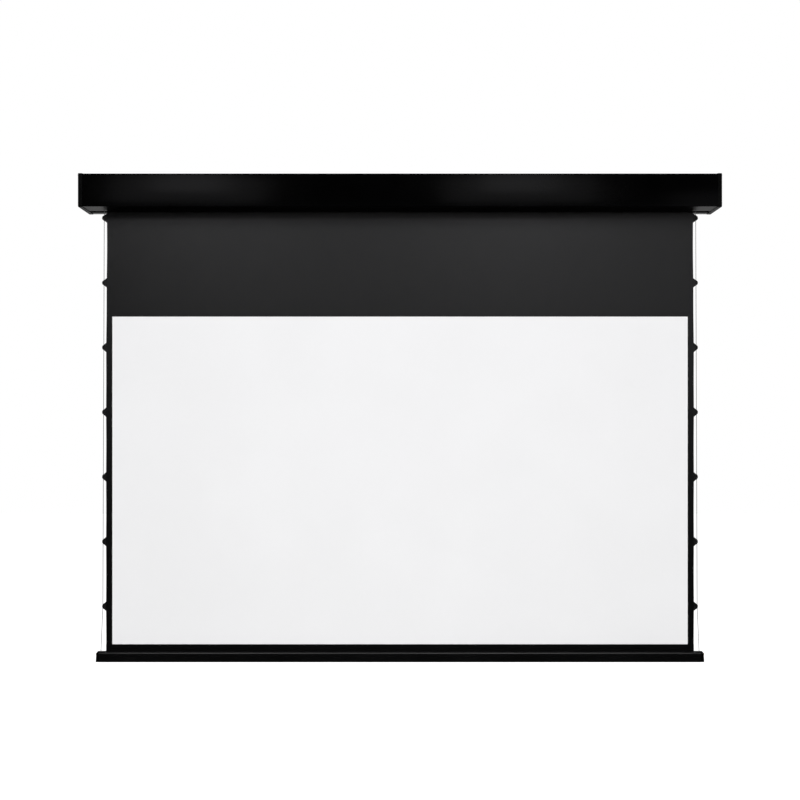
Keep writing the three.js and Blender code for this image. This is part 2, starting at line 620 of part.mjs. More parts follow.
// The cord's route on the right: straight between the tabs, then out to the bar.
function cordRoute() {
  const y = depthY(SHEET_DEPTH_PLACE);
  const end = BAR_TOP - HEM_CHANNEL_DEPTH + HEM_CHANNEL_RADIUS;
  const route = [new THREE.Vector3(SHEET_HALF + CORD_OFFSET_BAR, y, heightZ(end))];
  route.push(new THREE.Vector3(SHEET_HALF + CORD_OFFSET_BAR, y, heightZ(BAR_TOP)));
  for (let i = 0; i < TAB_COUNT; i += 1) {
    route.push(new THREE.Vector3(SHEET_HALF + cordOffsetAtTab(i), y, heightZ(tabHeight(i))));
  }
  route.push(new THREE.Vector3(SHEET_HALF + CORD_OFFSET_FIRST_TAB, y, heightZ(ROLLER_HEIGHT)));
  return route;
}

// A route of straight runs, nearly upright, with one level section of the tube at each point.
class StraightRuns extends THREE.Curve {
  constructor(points) {
    super();
    this.points = points;
  }

  getPointAt(share) {
    const place = share * (this.points.length - 1);
    const i = Math.min(Math.floor(place), this.points.length - 2);
    return this.points[i].clone().lerp(this.points[i + 1], place - i);
  }

  getTangentAt() {
    return new THREE.Vector3(0, 0, 1);
  }
}

function cordTube(radius) {
  const route = cordRoute();
  const section = new THREE.Shape().absarc(0, 0, radius, 0, 2 * Math.PI);
  return new THREE.ExtrudeGeometry(section, {
    steps: route.length - 1, extrudePath: new StraightRuns(route), curveSegments: EDGE_STEPS,
  });
}

// A bell-shaped tab, folded round the cord and welded to the back of the sheet.
function tensionTab(i) {
  const z = heightZ(tabHeight(i));
  const y = depthY(SHEET_DEPTH_PLACE);
  const edge = SHEET_HALF + FIT;
  const tip = SHEET_HALF + TAB_REACH;
  const flank = SHEET_HALF + TAB_REACH * TAB_FLANK_REACH;
  const flankRise = TAB_BASE * TAB_FLANK_HEIGHT;
  const shoulderRise = TAB_BASE * TAB_SHOULDER_HEIGHT;
  const bell = new THREE.Shape();
  bell.moveTo(edge, z - TAB_BASE / 2);
  bell.bezierCurveTo(flank, z - flankRise, tip, z - shoulderRise, tip, z);
  bell.bezierCurveTo(tip, z + shoulderRise, flank, z + flankRise, edge, z + TAB_BASE / 2);
  const loop = runIntoWall(bell, around(y, TAB_THICKNESS), TAB_STEPS);
  const weldY = depthY(SHEET_FRONT + SHEET_THICKNESS) + FIT;
  const weld = block([SHEET_HALF - TAB_WELD_WIDTH, edge + OVERLAP], [weldY, weldY + TAB_WELD_THICKNESS],
    [z - TAB_BASE / 2, z + TAB_BASE / 2]);
  return cut(join(loop, weld), cordTube(CORD_RADIUS + FIT));
}

function tabsAndCords() {
  for (let i = 0; i < TAB_COUNT; i += 1) {
    const number = TAB_COUNT - i;
    const tab = tensionTab(i);
    add(`tension_tab_right_${number}`, tab, BLACK_CLOTH);
    add(`tension_tab_left_${number}`, mirrored(tab), BLACK_CLOTH);
  }
  addPair('tension_cord', cordTube(CORD_RADIUS), CORD_GREY);
}

// The weight bar: a hollow extrusion with a slotted channel for the hem at its top.
const BAR_SPAN_Y = [-BAR_DEPTH / 2, BAR_DEPTH / 2].map((y) => y + depthY(SHEET_DEPTH_PLACE));
const BAR_SPAN_Z = [heightZ(BAR_TOP - BAR_HEIGHT), heightZ(BAR_TOP)];
const HEM_CENTRE = [depthY(SHEET_DEPTH_PLACE), heightZ(HEM_HEIGHT)];
const CAVITY_Y = [BAR_SPAN_Y[0] + BAR_WALL, BAR_SPAN_Y[1] - BAR_WALL];
const CAVITY_Z = [heightZ(BAR_CAVITY_BOTTOM), heightZ(BAR_CAVITY_TOP)];

const BAR_SECTION = roundedOutline(BAR_SPAN_Y, BAR_SPAN_Z, BAR_BACK_RADIUS, BAR_FOOT_RADIUS,
  BAR_FRONT_RADIUS);

function weightBar() {
  const span = [-BAR_HALF, BAR_HALF];
  const past = [-BAR_HALF - OVERLAP, BAR_HALF + OVERLAP];
  const y = depthY(SHEET_DEPTH_PLACE);
  const shell = runAlongX(BAR_SECTION, span);
  const cavity = block(past, CAVITY_Y, CAVITY_Z);
  const channel = rod(HEM_CHANNEL_RADIUS, past, HEM_CENTRE, SMALL_SIDES);
  const slot = block(past, around(y, BAR_SLOT), [heightZ(HEM_HEIGHT), heightZ(BAR_TOP + OVERLAP)]);
  add('weight_bar', cut(shell, cavity, channel, slot), BLACK_COAT);
  add('hem_rod', rod(HEM_ROD_RADIUS, [-SHEET_HALF, SHEET_HALF], HEM_CENTRE, SMALL_SIDES), STEEL);
  const ballastHalf = BAR_HALF - BAR_CAP_SPIGOT - FIT;
  add('ballast_rod', rod(BALLAST_RADIUS, [-ballastHalf, ballastHalf],
    [y, CAVITY_Z[0] + FIT + BALLAST_RADIUS]), STEEL);
}

// The bar's caps push into its cavity. A tongue over the bar's top guides the cord in.
function barCap() {
  const face = BAR_HALF + BAR_CAP_THICKNESS;
  const y = depthY(SHEET_DEPTH_PLACE);
  const front = new THREE.Shape();
  front.moveTo(BAR_HALF, BAR_SPAN_Z[0]);
  front.lineTo(face - BAR_CAP_FOOT_RADIUS, BAR_SPAN_Z[0]);
  front.quadraticCurveTo(face, BAR_SPAN_Z[0], face, BAR_SPAN_Z[0] + BAR_CAP_FOOT_RADIUS);
  front.lineTo(face - BAR_CAP_LEAN, BAR_SPAN_Z[1] - BAR_CAP_CORNER);
  front.quadraticCurveTo(face - BAR_CAP_LEAN, BAR_SPAN_Z[1], face - BAR_CAP_CORNER, BAR_SPAN_Z[1]);
  front.lineTo(BAR_HALF, BAR_SPAN_Z[1]);
  const body = overlapOf(runIntoWall(front, BAR_SPAN_Y, BAR_CAP_STEPS),
    runAlongX(BAR_SECTION, [BAR_HALF, face]));
  const spigot = block([BAR_HALF - BAR_CAP_SPIGOT, BAR_HALF + OVERLAP],
    [CAVITY_Y[0] + FIT, CAVITY_Y[1] - FIT], [CAVITY_Z[0] + FIT, CAVITY_Z[1] - FIT]);
  const tongueY = [BAR_SPAN_Y[0] + BAR_CAP_TONGUE_INSET, BAR_SPAN_Y[1] - BAR_CAP_TONGUE_INSET];
  const tongueTop = BAR_SPAN_Z[1] + FIT + BAR_CAP_TONGUE_THICKNESS;
  const riserEnd = face - BAR_CAP_CORNER + BAR_CAP_LEAN;
  const tongue = block([BAR_HALF - BAR_CAP_TONGUE, riserEnd], tongueY, [BAR_SPAN_Z[1] + FIT, tongueTop]);
  const riser = block([BAR_HALF, riserEnd], tongueY, [BAR_SPAN_Z[1] - OVERLAP, tongueTop]);
  const cordHole = upright([
    [0, BAR_SPAN_Z[1] - OVERLAP],
    [CORD_RADIUS + 2 * FIT, BAR_SPAN_Z[1] - OVERLAP],
    [CORD_RADIUS + 2 * FIT, tongueTop + OVERLAP],
    [0, tongueTop + OVERLAP],
  ], [SHEET_HALF + CORD_OFFSET_BAR, y], HOLE_SIDES);
  const through = [BAR_HALF - OVERLAP, face + OVERLAP];
  const screwHole = rod(TENSION_SCREW_RADIUS + FIT, through, HEM_CENTRE, HOLE_SIDES);
  return cut(join(body, spigot, riser, tongue), cordHole, screwHole);
}

// A cord anchor slides in the bar's channel, and a screw in the cap pulls it outwards.
function cordAnchor() {
  const face = BAR_HALF + BAR_CAP_THICKNESS;
  const middle = SHEET_HALF + CORD_OFFSET_BAR;
  const anchorSpan = [middle - ANCHOR_LENGTH / 2, BAR_HALF - FIT];
  const headSpan = [face, face + TENSION_SCREW_HEAD_HEIGHT];
  const anchor = rod(HEM_CHANNEL_RADIUS - FIT, anchorSpan, HEM_CENTRE, SMALL_SIDES);
  const screw = rod(TENSION_SCREW_RADIUS, [middle, face], HEM_CENTRE, HOLE_SIDES);
  const head = rod(TENSION_SCREW_HEAD_RADIUS, headSpan, HEM_CENTRE, SMALL_SIDES);
  return join(anchor, screw, head);
}

// A joggled steel bracket: its plate lies on the wall and its tongue stands behind the case's hook.
function wallBracket() {
  const back = CASE_DEPTH;
  const front = back - BRACKET_THICKNESS;
  const tongueFront = CASE_DEPTH - CHANNEL_DEPTH + FIT;
  const tongueBack = CASE_DEPTH - HOOK_THICKNESS - FIT;
  const tongueTop = CHANNEL_TOP - FIT;
  const plateTop = CHANNEL_TOP - HOOK_DROP - FIT;
  const plateBottom = CHANNEL_BOTTOM + FIT;
  const section = outline([
    [back, plateBottom],
    [back, plateTop - BRACKET_THICKNESS],
    [tongueBack, plateTop],
    [tongueBack, tongueTop],
    [tongueFront, tongueTop],
    [tongueFront, plateTop - BRACKET_THICKNESS],
    [front, plateTop - 2 * BRACKET_THICKNESS],
    [front, plateBottom],
  ].map(([depth, height]) => [depthY(depth), heightZ(height)]));
  const middle = CASE_HALF - BRACKET_INSET;
  const plate = runAlongX(section, around(middle, BRACKET_WIDTH));
  const holeZ = heightZ((plateBottom + plateTop) / 2);
  const radius = BRACKET_HOLE_RADIUS;
  const holes = [-1, 1].map((side) =>
    new THREE.CylinderGeometry(radius, radius, 4 * CHANNEL_DEPTH, SMALL_SIDES)
      .translate(middle + side * BRACKET_HOLE_SPACING / 2, depthY(back), holeZ));
  return cut(plate, ...holes);
}

// The control box is held on the inside of the back wall. Its leads come from the inlet and the motor.
function controls() {
  const boxX = [-CASE_HALF + BOX_END_GAP, -CASE_HALF + BOX_END_GAP + BOX_LENGTH];
  const wall = CASE_DEPTH - CHANNEL_DEPTH - CASE_WALL - FIT;
  const boxY = [depthY(wall - BOX_DEPTH), depthY(wall)];
  const boxZ = [heightZ(BOX_BASE), heightZ(BOX_BASE + BOX_HEIGHT)];
  add('control_box', block(boxX, boxY, boxZ), BLACK_PLASTIC);
  const leadY = (boxY[0] + boxY[1]) / 2;
  const motorLeadZ = boxZ[1] - LEAD_EDGE_GAP;
  const headX = -CASE_HALF + MOTOR_HEAD_LENGTH / 2;
  const headBack = AXIS[0] + MOTOR_HEAD_RADIUS + FIT;
  add('motor_lead', lead([
    [headX, headBack, AXIS[1]],
    [headX, headBack + LEAD_START, AXIS[1]],
    [boxX[0] - LEAD_END, leadY, motorLeadZ],
    [boxX[0] - FIT, leadY, motorLeadZ],
  ]), BLACK_RUBBER);
  const supplyLeadZ = boxZ[0] + LEAD_EDGE_GAP;
  add('supply_lead', lead([
    [-CASE_HALF - CAP_THICKNESS + INLET_DEPTH + FIT, ...INLET_PLACE],
    [-CASE_HALF + LEAD_START, ...INLET_PLACE],
    [boxX[0] - LEAD_END, leadY, supplyLeadZ],
    [boxX[0] - FIT, leadY, supplyLeadZ],
  ]), BLACK_RUBBER);
}

// An electric lead along a smooth curve through its points.
function lead(points) {
  const curve = new THREE.CatmullRomCurve3(points.map((point) => new THREE.Vector3(...point)));
  const section = new THREE.Shape().absarc(0, 0, LEAD_RADIUS, 0, 2 * Math.PI);
  return new THREE.ExtrudeGeometry(section, {
    steps: LEAD_STEPS, extrudePath: curve, curveSegments: EDGE_STEPS,
  });
}

add('case_housing', caseHousing(), BLACK_COAT);
add('access_cover', accessCover(), BLACK_COAT);
addPair('end_plate', endPlate(), GALVANISED);
const cap = endCap();
add('end_cap_right', cap.right, BLACK_PLASTIC);
add('end_cap_left', cap.left, BLACK_PLASTIC);
add('cover_screw_right', coverScrew(1), STEEL);
add('cover_screw_left', coverScrew(-1), STEEL);
add('power_inlet', powerInlet(), BLACK_PLASTIC);
controls();
motor();
roller();
sheet();
tabsAndCords();
weightBar();
addPair('bar_end_cap', barCap(), BLACK_PLASTIC);
addPair('cord_anchor', cordAnchor(), BRASS);
addPair('wall_bracket', wallBracket(), GALVANISED);

export default screen;
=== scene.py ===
import math

import bpy
import numpy as np
from mathutils import Matrix, Vector


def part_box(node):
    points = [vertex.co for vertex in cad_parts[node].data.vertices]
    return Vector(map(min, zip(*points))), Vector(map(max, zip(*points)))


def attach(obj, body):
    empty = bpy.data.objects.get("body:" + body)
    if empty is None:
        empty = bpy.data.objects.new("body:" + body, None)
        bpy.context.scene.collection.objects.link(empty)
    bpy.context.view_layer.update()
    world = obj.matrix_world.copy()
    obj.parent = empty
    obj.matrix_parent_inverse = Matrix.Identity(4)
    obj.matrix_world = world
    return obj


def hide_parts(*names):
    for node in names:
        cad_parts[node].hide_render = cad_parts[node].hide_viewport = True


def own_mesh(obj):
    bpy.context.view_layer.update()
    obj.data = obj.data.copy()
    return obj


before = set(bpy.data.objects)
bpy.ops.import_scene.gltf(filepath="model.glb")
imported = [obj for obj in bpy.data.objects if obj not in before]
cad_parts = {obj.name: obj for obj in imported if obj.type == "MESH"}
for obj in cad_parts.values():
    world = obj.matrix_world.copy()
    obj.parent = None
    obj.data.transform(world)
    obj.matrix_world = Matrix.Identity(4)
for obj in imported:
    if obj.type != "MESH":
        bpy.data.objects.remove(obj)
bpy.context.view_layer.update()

scene = bpy.context.scene


def spans(node):
    """Where a node begins and ends along x, y and z, in metres, to the micrometre."""
    low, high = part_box(node)
    return [(round(low[axis], 6), round(high[axis], 6)) for axis in range(3)]


def size_of(span):
    return round(span[1] - span[0], 6)


def middle_of(span):
    return round((span[0] + span[1]) / 2, 6)


# The case and its end caps, read from the frame
case_x, case_y, case_z = spans("case_housing")
CASE_HALF = case_x[1]
CASE_DEPTH = -case_y[0]
CASE_FOOT, CASE_TOP = case_z
CAP_Y, CAP_Z = spans("end_cap_right")[1:]
inlet_x, INLET_Y, INLET_Z = spans("power_inlet")
CAP_FACE = -inlet_x[0]

# The sheet, the roller and the bar, read from the frame
picture_x, picture_y, picture_z = spans("viewing_surface")
PICTURE_HALF = picture_x[1]
PICTURE_BOTTOM, PICTURE_TOP = picture_z
SHEET_Y = middle_of(picture_y)
SHEET_THICKNESS = size_of(picture_y)
SHEET_HALF = spans("black_drop")[0][1]
ROLLER_Z = middle_of(spans("roller_tube")[2])
bar_x, BAR_Y, bar_z = spans("weight_bar")
BAR_HALF = bar_x[1]
BAR_FOOT, BAR_TOP = bar_z
BAR_FACE = spans("bar_end_cap_right")[0][1]
HEM_Z = middle_of(spans("hem_rod")[2])
HEM_RADIUS = size_of(spans("bottom_border")[1]) / 2

# The tabs and the cords, read from the frame
TAB_COUNT = sum(name.startswith("tension_tab_right_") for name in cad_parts)
tab_x, _, tab_z = spans(f"tension_tab_right_{TAB_COUNT}")
LOWEST_TAB_Z = middle_of(tab_z)
TAB_PITCH = size_of((LOWEST_TAB_Z, middle_of(spans(f"tension_tab_right_{TAB_COUNT - 1}")[2])))
TAB_BASE = size_of(tab_z)
TAB_REACH = size_of((SHEET_HALF, tab_x[1]))
TAB_WELD = size_of((tab_x[0], SHEET_HALF))
_, cord_y, cord_z = spans("tension_cord_right")
CORD_RADIUS = size_of(cord_y) / 2
CORD_END_Z = cord_z[0]

# The cord's route, as in the part: how far it stands outside the sheet's edge at the top tab, at the lowest
# tab and at the bar
CORD_HIGH = 0.007
CORD_LOW = 0.0125
CORD_AT_BAR = 0.020

# Details of the case's end caps
PORT_INSET = 0.006
FRONT_PORT_RISE = 0.014
CAP_EDGE = 0.003
CAP_CORNER = 0.0042
CAP_WALL = 0.0053
CAP_SEAT = 0.0033
CAP_MOUTH_WALL = 0.002
CAP_INNER_CORNER = 0.002
CAP_STEPS = 8
CAP_RIBS = 15
CAP_RIB_PITCH = 0.008
CAP_RIB_START = 0.007
CAP_GROOVE_DROP = 0.0026
CAP_GROOVE_RADIUS = 0.002
CAP_GROOVE_ENDS = (0.0025, 0.0032)
CAP_SCREW_SEAT = 0.0046
CAP_SCREW_SEAT_DEPTH = 0.0004
INLET_FIT = 0.0003
INLET_CUT_DEPTH = 0.008
CUT_PAST = 0.001

# Details of the bar and its end caps
BAR_FRONT_RADIUS = 0.007
BAR_BACK_RADIUS = 0.003
BAR_FOOT_RADIUS = 0.001
BAR_CAP_CORNER = 0.007
BAR_CAP_LEAN = 0.002
BAR_CAP_FOOT = 0.0025
BAR_CAP_EDGE = 0.0025
BAR_CAP_TONGUE = 0.024
TONGUE_END_GAP = 0.005
TONGUE_INSET = 0.004
TONGUE_GAP = 0.0003
TONGUE_TOP = 0.0015
RISER_START = 0.0002
RISER_END_GAP = 0.0055
RISER_INSET = 0.0045
RISER_FOOT = 0.002
RISER_TOP = 0.0012
CORD_HOLE_RADIUS = 0.0019
CORD_HOLE_DEPTH = 0.0005
CORD_HOLE_TOP = 0.004

# Details of the sheet, the tabs and the cords
BLACK_CLOTH_SHARE = 1.24
HEM_FLAP = 0.018
TAB_TIP = 0.00006
TAB_RIM = 0.0009
TAB_END = 0.0008
TAB_FLAP = 0.00068
TAB_SLEEVE = 0.0020
TAB_WELD_GAP = 0.00034
TAB_WELD_THICKNESS = 0.0006
CORD_TWIST = 0.0084
CORD_STEP = 0.0007
CORD_SIDES = 14
CORD_EASE = 25

# How far the sheet's edges are drawn in under the case, and between two tabs
NECK = 0.0034
NECK_TOP = -0.15
NECK_FOOT = -0.75
SCALLOP = 0.0006

# The size of the sheet's unevenness, and how near the roller and the bar it fades away
RIPPLE = 0.00018
RIPPLE_FADE = 0.15

# The camera, a little below the middle of the whole object, and the surroundings. The strip, the soft boxes,
# the spills and the side fill hang in one plane behind the camera. The world has one strength for matt
# surfaces, and for reflections one in front of the screen and one behind it. It turns from the first to the
# second as a direction's y goes from low to high.
CAMERA_PLACE = (0, -3.606, -0.928)
CAMERA_LENS = 41.69
CAMERA_SENSOR = 36
CAMERA_RISE = 25 / 800
FLOOR_Z = -2.62
FLOOR_FRONT = -0.4
FLOOR_SIZE = 14.0
FLOOR_COLOR = (0.82, 0.82, 0.82, 1)
FLOOR_GLOW = 0.78
FLOOR_MIRRORED = 0.6
LIGHTS_Y = -4.13
COOL_WHITE = (0.97, 0.965, 1.0)
WORLD_FILL = 0.32
WORLD_FRONT = 0.01
WORLD_BACK = 0.85
WORLD_TURN = (-0.25, 0.35)


# Materials and their shader nodes

def new_material(name, color, roughness, **sockets):
    """A material whose main shader has its sockets set."""
    material = bpy.data.materials.new(name)
    material.use_nodes = True
    nodes = material.node_tree.nodes
    shader = nodes["Principled BSDF"]
    shader.inputs["Base Color"].default_value = (*color, 1)
    shader.inputs["Roughness"].default_value = roughness
    for socket, value in sockets.items():
        shader.inputs[socket.replace("_", " ")].default_value = value
    return material


def shader_of(material):
    return material.node_tree.nodes["Principled BSDF"]


def noise(material, scale, detail=4.0, stretch=(1, 1, 1)):
    """A noise texture in the object's own metres."""
    tree = material.node_tree
    place = tree.nodes.new("ShaderNodeTexCoord")
    mapping = tree.nodes.new("ShaderNodeMapping")
    texture = tree.nodes.new("ShaderNodeTexNoise")
    mapping.inputs["Scale"].default_value = stretch
    texture.inputs["Scale"].default_value = scale
    texture.inputs["Detail"].default_value = detail
    tree.links.new(place.outputs["Object"], mapping.inputs["Vector"])
    tree.links.new(mapping.outputs["Vector"], texture.inputs["Vector"])
    return texture.outputs["Fac"]


def wave(material, scale, direction):
    """Fine lines or ridges across one direction."""
    tree = material.node_tree
    place = tree.nodes.new("ShaderNodeTexCoord")
    texture = tree.nodes.new("ShaderNodeTexWave")
    texture.bands_direction = direction
    texture.inputs["Scale"].default_value = scale
    tree.links.new(place.outputs["Object"], texture.inputs["Vector"])
    return texture.outputs["Fac"]


def mixed(material, value, dark, light, low=0.35, high=0.65):
    """Colours between dark and light, as a texture value goes from low to high."""
    ramp = material.node_tree.nodes.new("ShaderNodeValToRGB")
    ramp.color_ramp.elements[0].position = low
    ramp.color_ramp.elements[0].color = (*dark, 1)
    ramp.color_ramp.elements[1].position = high
    ramp.color_ramp.elements[1].color = (*light, 1)
    material.node_tree.links.new(value, ramp.inputs["Fac"])
    material.node_tree.links.new(ramp.outputs["Color"], shader_of(material).inputs["Base Color"])


def vary_roughness(material, value, low, high):
    ranged = material.node_tree.nodes.new("ShaderNodeMapRange")
    ranged.inputs["To Min"].default_value = low
    ranged.inputs["To Max"].default_value = high
    material.node_tree.links.new(value, ranged.inputs["Value"])
    material.node_tree.links.new(ranged.outputs["Result"], shader_of(material).inputs["Roughness"])


def bumps(material, *layers):
    """Layers of (texture value, height in metres, strength), one on the other."""
    tree = material.node_tree
    last = None
    for value, height, strength in layers:
        bump = tree.nodes.new("ShaderNodeBump")
        bump.inputs["Distance"].default_value = height
        bump.inputs["Strength"].default_value = strength
        tree.links.new(value, bump.inputs["Height"])
        if last is not None:
            tree.links.new(last, bump.inputs["Normal"])
        last = bump.outputs["Normal"]
    tree.links.new(last, shader_of(material).inputs["Normal"])


def grey(level, blue=0.0):
    return (level, level, level + blue)


def coated_metal(name, level, roughness, specular=0.5):
    """Satin black powder coat on an aluminium profile, with faint die lines along its length."""
    material = new_material(name, grey(level), roughness, Specular_IOR_Level=specular)
    grain = noise(material, 900, 3)
    die_lines = noise(material, 1, 2, (1.5, 700, 700))
    smudges = noise(material, 5, 5)
    mixed(material, smudges, grey(level * 0.8), grey(level * 1.25, level * 0.15))
    vary_roughness(material, smudges, roughness - 0.04, roughness + 0.05)
    bumps(material, (grain, 0.00004, 0.35), (die_lines, 0.00003, 0.3))
    return material


def moulded_plastic(name, level, roughness, specular=0.4):
    """Black plastic with the fine sparked grain of its mould."""
    material = new_material(name, grey(level), roughness, Specular_IOR_Level=specular)
    grain = noise(material, 1700, 4)
    clouds = noise(material, 30, 4)
    mixed(material, clouds, grey(level * 0.75), grey(level * 1.3))
    vary_roughness(material, grain, roughness - 0.08, roughness + 0.08)
    bumps(material, (grain, 0.00012, 0.6))
    return material


def coated_cloth(name, level, roughness, **sockets):
    """Coated cloth with a fine crossed emboss over a soft grain."""
    material = new_material(name, grey(level), roughness, **sockets)
    grain = noise(material, 1400, 3)
    clouds = noise(material, 4, 5)
    mixed(material, clouds, grey(level / 1.25), grey(level * 1.25))
    vary_roughness(material, noise(material, 60, 4), roughness - 0.04, roughness + 0.04)
    bumps(material, (wave(material, 320, "X"), 0.00003, 0.25), (wave(material, 320, "Z"), 0.00003, 0.25),
          (grain, 0.00004, 0.3))
    return material


def metal(name, color, roughness, stretch):
    """Bare metal, brushed or drawn along one direction."""
    material = new_material(name, color, roughness, Metallic=1.0)
    lines = noise(material, 1, 4, stretch)
    clouds = noise(material, 25, 5)
    mixed(material, clouds, tuple(c * 0.82 for c in color), tuple(min(1, c * 1.1) for c in color))
    vary_roughness(material, lines, roughness - 0.07, roughness + 0.1)
    bumps(material, (lines, 0.00003, 0.4))
    return material


def galvanised_steel():
    """Zinc coated sheet with its spangle."""
    color = (0.45, 0.47, 0.49)
    material = new_material("galvanised_steel", color, 0.45, Metallic=1.0)
    tree = material.node_tree
    place = tree.nodes.new("ShaderNodeTexCoord")
    spangle = tree.nodes.new("ShaderNodeTexVoronoi")
    spangle.inputs["Scale"].default_value = 140
    tree.links.new(place.outputs["Object"], spangle.inputs["Vector"])
    mixed(material, spangle.outputs["Color"], (0.36, 0.38, 0.40), (0.54, 0.56, 0.58), 0.1, 0.9)
    vary_roughness(material, spangle.outputs["Color"], 0.36, 0.58)
    bumps(material, (noise(material, 500, 4), 0.00003, 0.4))
    return material


def white_surface():
    """Matt white projection coating with an even microscopic grain."""
    material = new_material("white_surface", grey(0.9), 0.85, Specular_IOR_Level=0.2)
    mixed(material, noise(material, 3, 5), (0.893, 0.893, 0.895), (0.907, 0.907, 0.910))
    vary_roughness(material, noise(material, 40, 4), 0.8, 0.9)
    bumps(material, (noise(material, 2600, 2), 0.00003, 0.35))
    return material


def cord_material():
    """Grey twisted cord with fine fibres."""
    material = new_material("tension_cord", grey(0.125), 0.55, Sheen_Weight=0.2, Sheen_Roughness=0.4)
    fibres = noise(material, 1, 4, (3500, 3500, 700))
    mixed(material, fibres, (0.10, 0.10, 0.102), (0.15, 0.15, 0.153))
    vary_roughness(material, fibres, 0.48, 0.66)
    bumps(material, (fibres, 0.00008, 0.5))
    return material


CASE_COAT = coated_metal("case_coat", level=0.0006, roughness=0.13, specular=0.028)
COVER_COAT = coated_metal("cover_coat", level=0.0008, roughness=0.34, specular=0.05)
BAR_COAT = coated_metal("bar_coat", level=0.0008, roughness=0.33, specular=0.55)
CAP_PLASTIC = moulded_plastic("cap_plastic", level=0.0012, roughness=0.28, specular=0.045)
INNER_PLASTIC = moulded_plastic("inner_plastic", level=0.010, roughness=0.55)
BLACK_CLOTH = coated_cloth("black_cloth", level=0.0006, roughness=0.42, Specular_IOR_Level=0.38)
BACK_CLOTH = coated_cloth("back_cloth", level=0.005, roughness=0.6, Specular_IOR_Level=0.4)
TAB_CLOTH = coated_cloth("tab_cloth", level=0.004, roughness=0.5, Specular_IOR_Level=0.35)
WHITE = white_surface()
CORD = cord_material()
STEEL = metal("drawn_steel", (0.56, 0.57, 0.59), roughness=0.34, stretch=(1.5, 500, 500))
SCREW_STEEL = metal("black_screw", (0.035, 0.035, 0.038), roughness=0.42, stretch=(400, 400, 400))
GALVANISED = galvanised_steel()
ALUMINIUM = metal("mill_aluminium", (0.72, 0.73, 0.75), roughness=0.32, stretch=(1.5, 450, 450))
MOTOR_PAINT = coated_metal("motor_paint", level=0.16, roughness=0.42)
BRASS = metal("turned_brass", (0.60, 0.43, 0.17), roughness=0.3, stretch=(300, 300, 300))
RUBBER = moulded_plastic("lead_sheath", level=0.008, roughness=0.62)


# Meshes

def make_piece(name, points, faces, materials, body, slot, sharp=math.radians(35), slots=None):
    """A piece from points and faces, in place, riding on its body."""
    mesh = bpy.data.meshes.new(name)
    mesh.from_pydata([tuple(map(float, p)) for p in points], [], [tuple(map(int, f)) for f in faces])
    for material in materials:
        mesh.materials.append(material)
    if slots is not None:
        mesh.polygons.foreach_set("material_index", slots)
    mesh.update()
    return place_mesh(name, mesh, body, sharp)


def place_mesh(name, mesh, body, sharp=math.radians(35)):
    mesh.polygons.foreach_set("use_smooth", [True] * len(mesh.polygons))
    mesh.set_sharp_from_angle(angle=sharp)
    piece = bpy.data.objects.new(name, mesh)
    scene.collection.objects.link(piece)
    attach(piece, body)
    return piece


def outward(points, faces):
    """The faces, turned round if the solid they close is inside out."""
    points = np.asarray(points, float)
    volume = 0.0
    for face in faces:
        a = points[face[0]]
        for i in range(1, len(face) - 1):
            volume += a @ np.cross(points[face[i]], points[face[i + 1]])
    return faces if volume > 0 else [tuple(reversed(face)) for face in faces]


def loft(rings):
    """A tube through rings of points, closed at both ends."""
    count = len(rings[0])
    last = (len(rings) - 1) * count
    faces = []
    for a in range(0, last, count):
        b = a + count
        for i in range(count):
            j = (i + 1) % count
            faces.append((a + i, a + j, b + j, b + i))
    faces.append(tuple(reversed(range(count))))
    faces.append(tuple(range(last, last + count)))
    points = np.concatenate([np.asarray(ring, float) for ring in rings])
    return points, outward(points, faces)


def together(*solids):
    """Several closed solids as one list of points and faces."""
    points, faces, start = [], [], 0
    for some_points, some_faces in solids:
        points.extend(some_points)
        faces.extend(tuple(i + start for i in face) for face in some_faces)
        start += len(some_points)
    return points, faces


def mirror(solid):
    points, faces = solid
    return [(-p[0], p[1], p[2]) for p in points], [tuple(reversed(face)) for face in faces]


def rounded_rectangle(y0, y1, z0, z1, radius, steps=6):
    """Outline points in y and z, with rounded corners."""
    corners = [(y1 - radius, z0 + radius, -90), (y1 - radius, z1 - radius, 0),
               (y0 + radius, z1 - radius, 90), (y0 + radius, z0 + radius, 180)]
    points = []
    for y, z, start in corners:
        for step in range(steps + 1):
            angle = math.radians(start + 90 * step / steps)
            points.append((y + radius * math.cos(angle), z + radius * math.sin(angle)))
    return points


def at_x(x, outline):
    return [(x, y, z) for y, z in outline]


def rounded_box(x, y, z, radius, steps=4):
    """A block with rounded edges, from its spans in x, y and z. Its corners never shrink to nothing."""
    rings = []
    for end, sign in ((x[0], 1), (x[1], -1)):
        stations = range(steps + 1) if sign > 0 else reversed(range(steps + 1))
        for step in stations:
            angle = math.pi / 2 * step / steps
            inset = radius * (1 - math.sin(angle))
            corner = radius * 1.01 - inset * 0.98
            rings.append(at_x(end + sign * radius * (1 - math.cos(angle)), rounded_rectangle(
                y[0] + inset, y[1] - inset, z[0] + inset, z[1] - inset, corner, steps)))
    return loft(rings)


def round_rod(start, end, radius, sides):
    """A plain cylinder between two points."""
    start, end = Vector(start), Vector(end)
    axis = (end - start).normalized()
    across = axis.orthogonal().normalized()
    other = axis.cross(across)
    rings = []
    for centre in (start, end):
        rings.append([centre + radius * (math.cos(a) * across + math.sin(a) * other)
                      for a in np.linspace(0, 2 * math.pi, sides, endpoint=False)])
    return loft(rings)


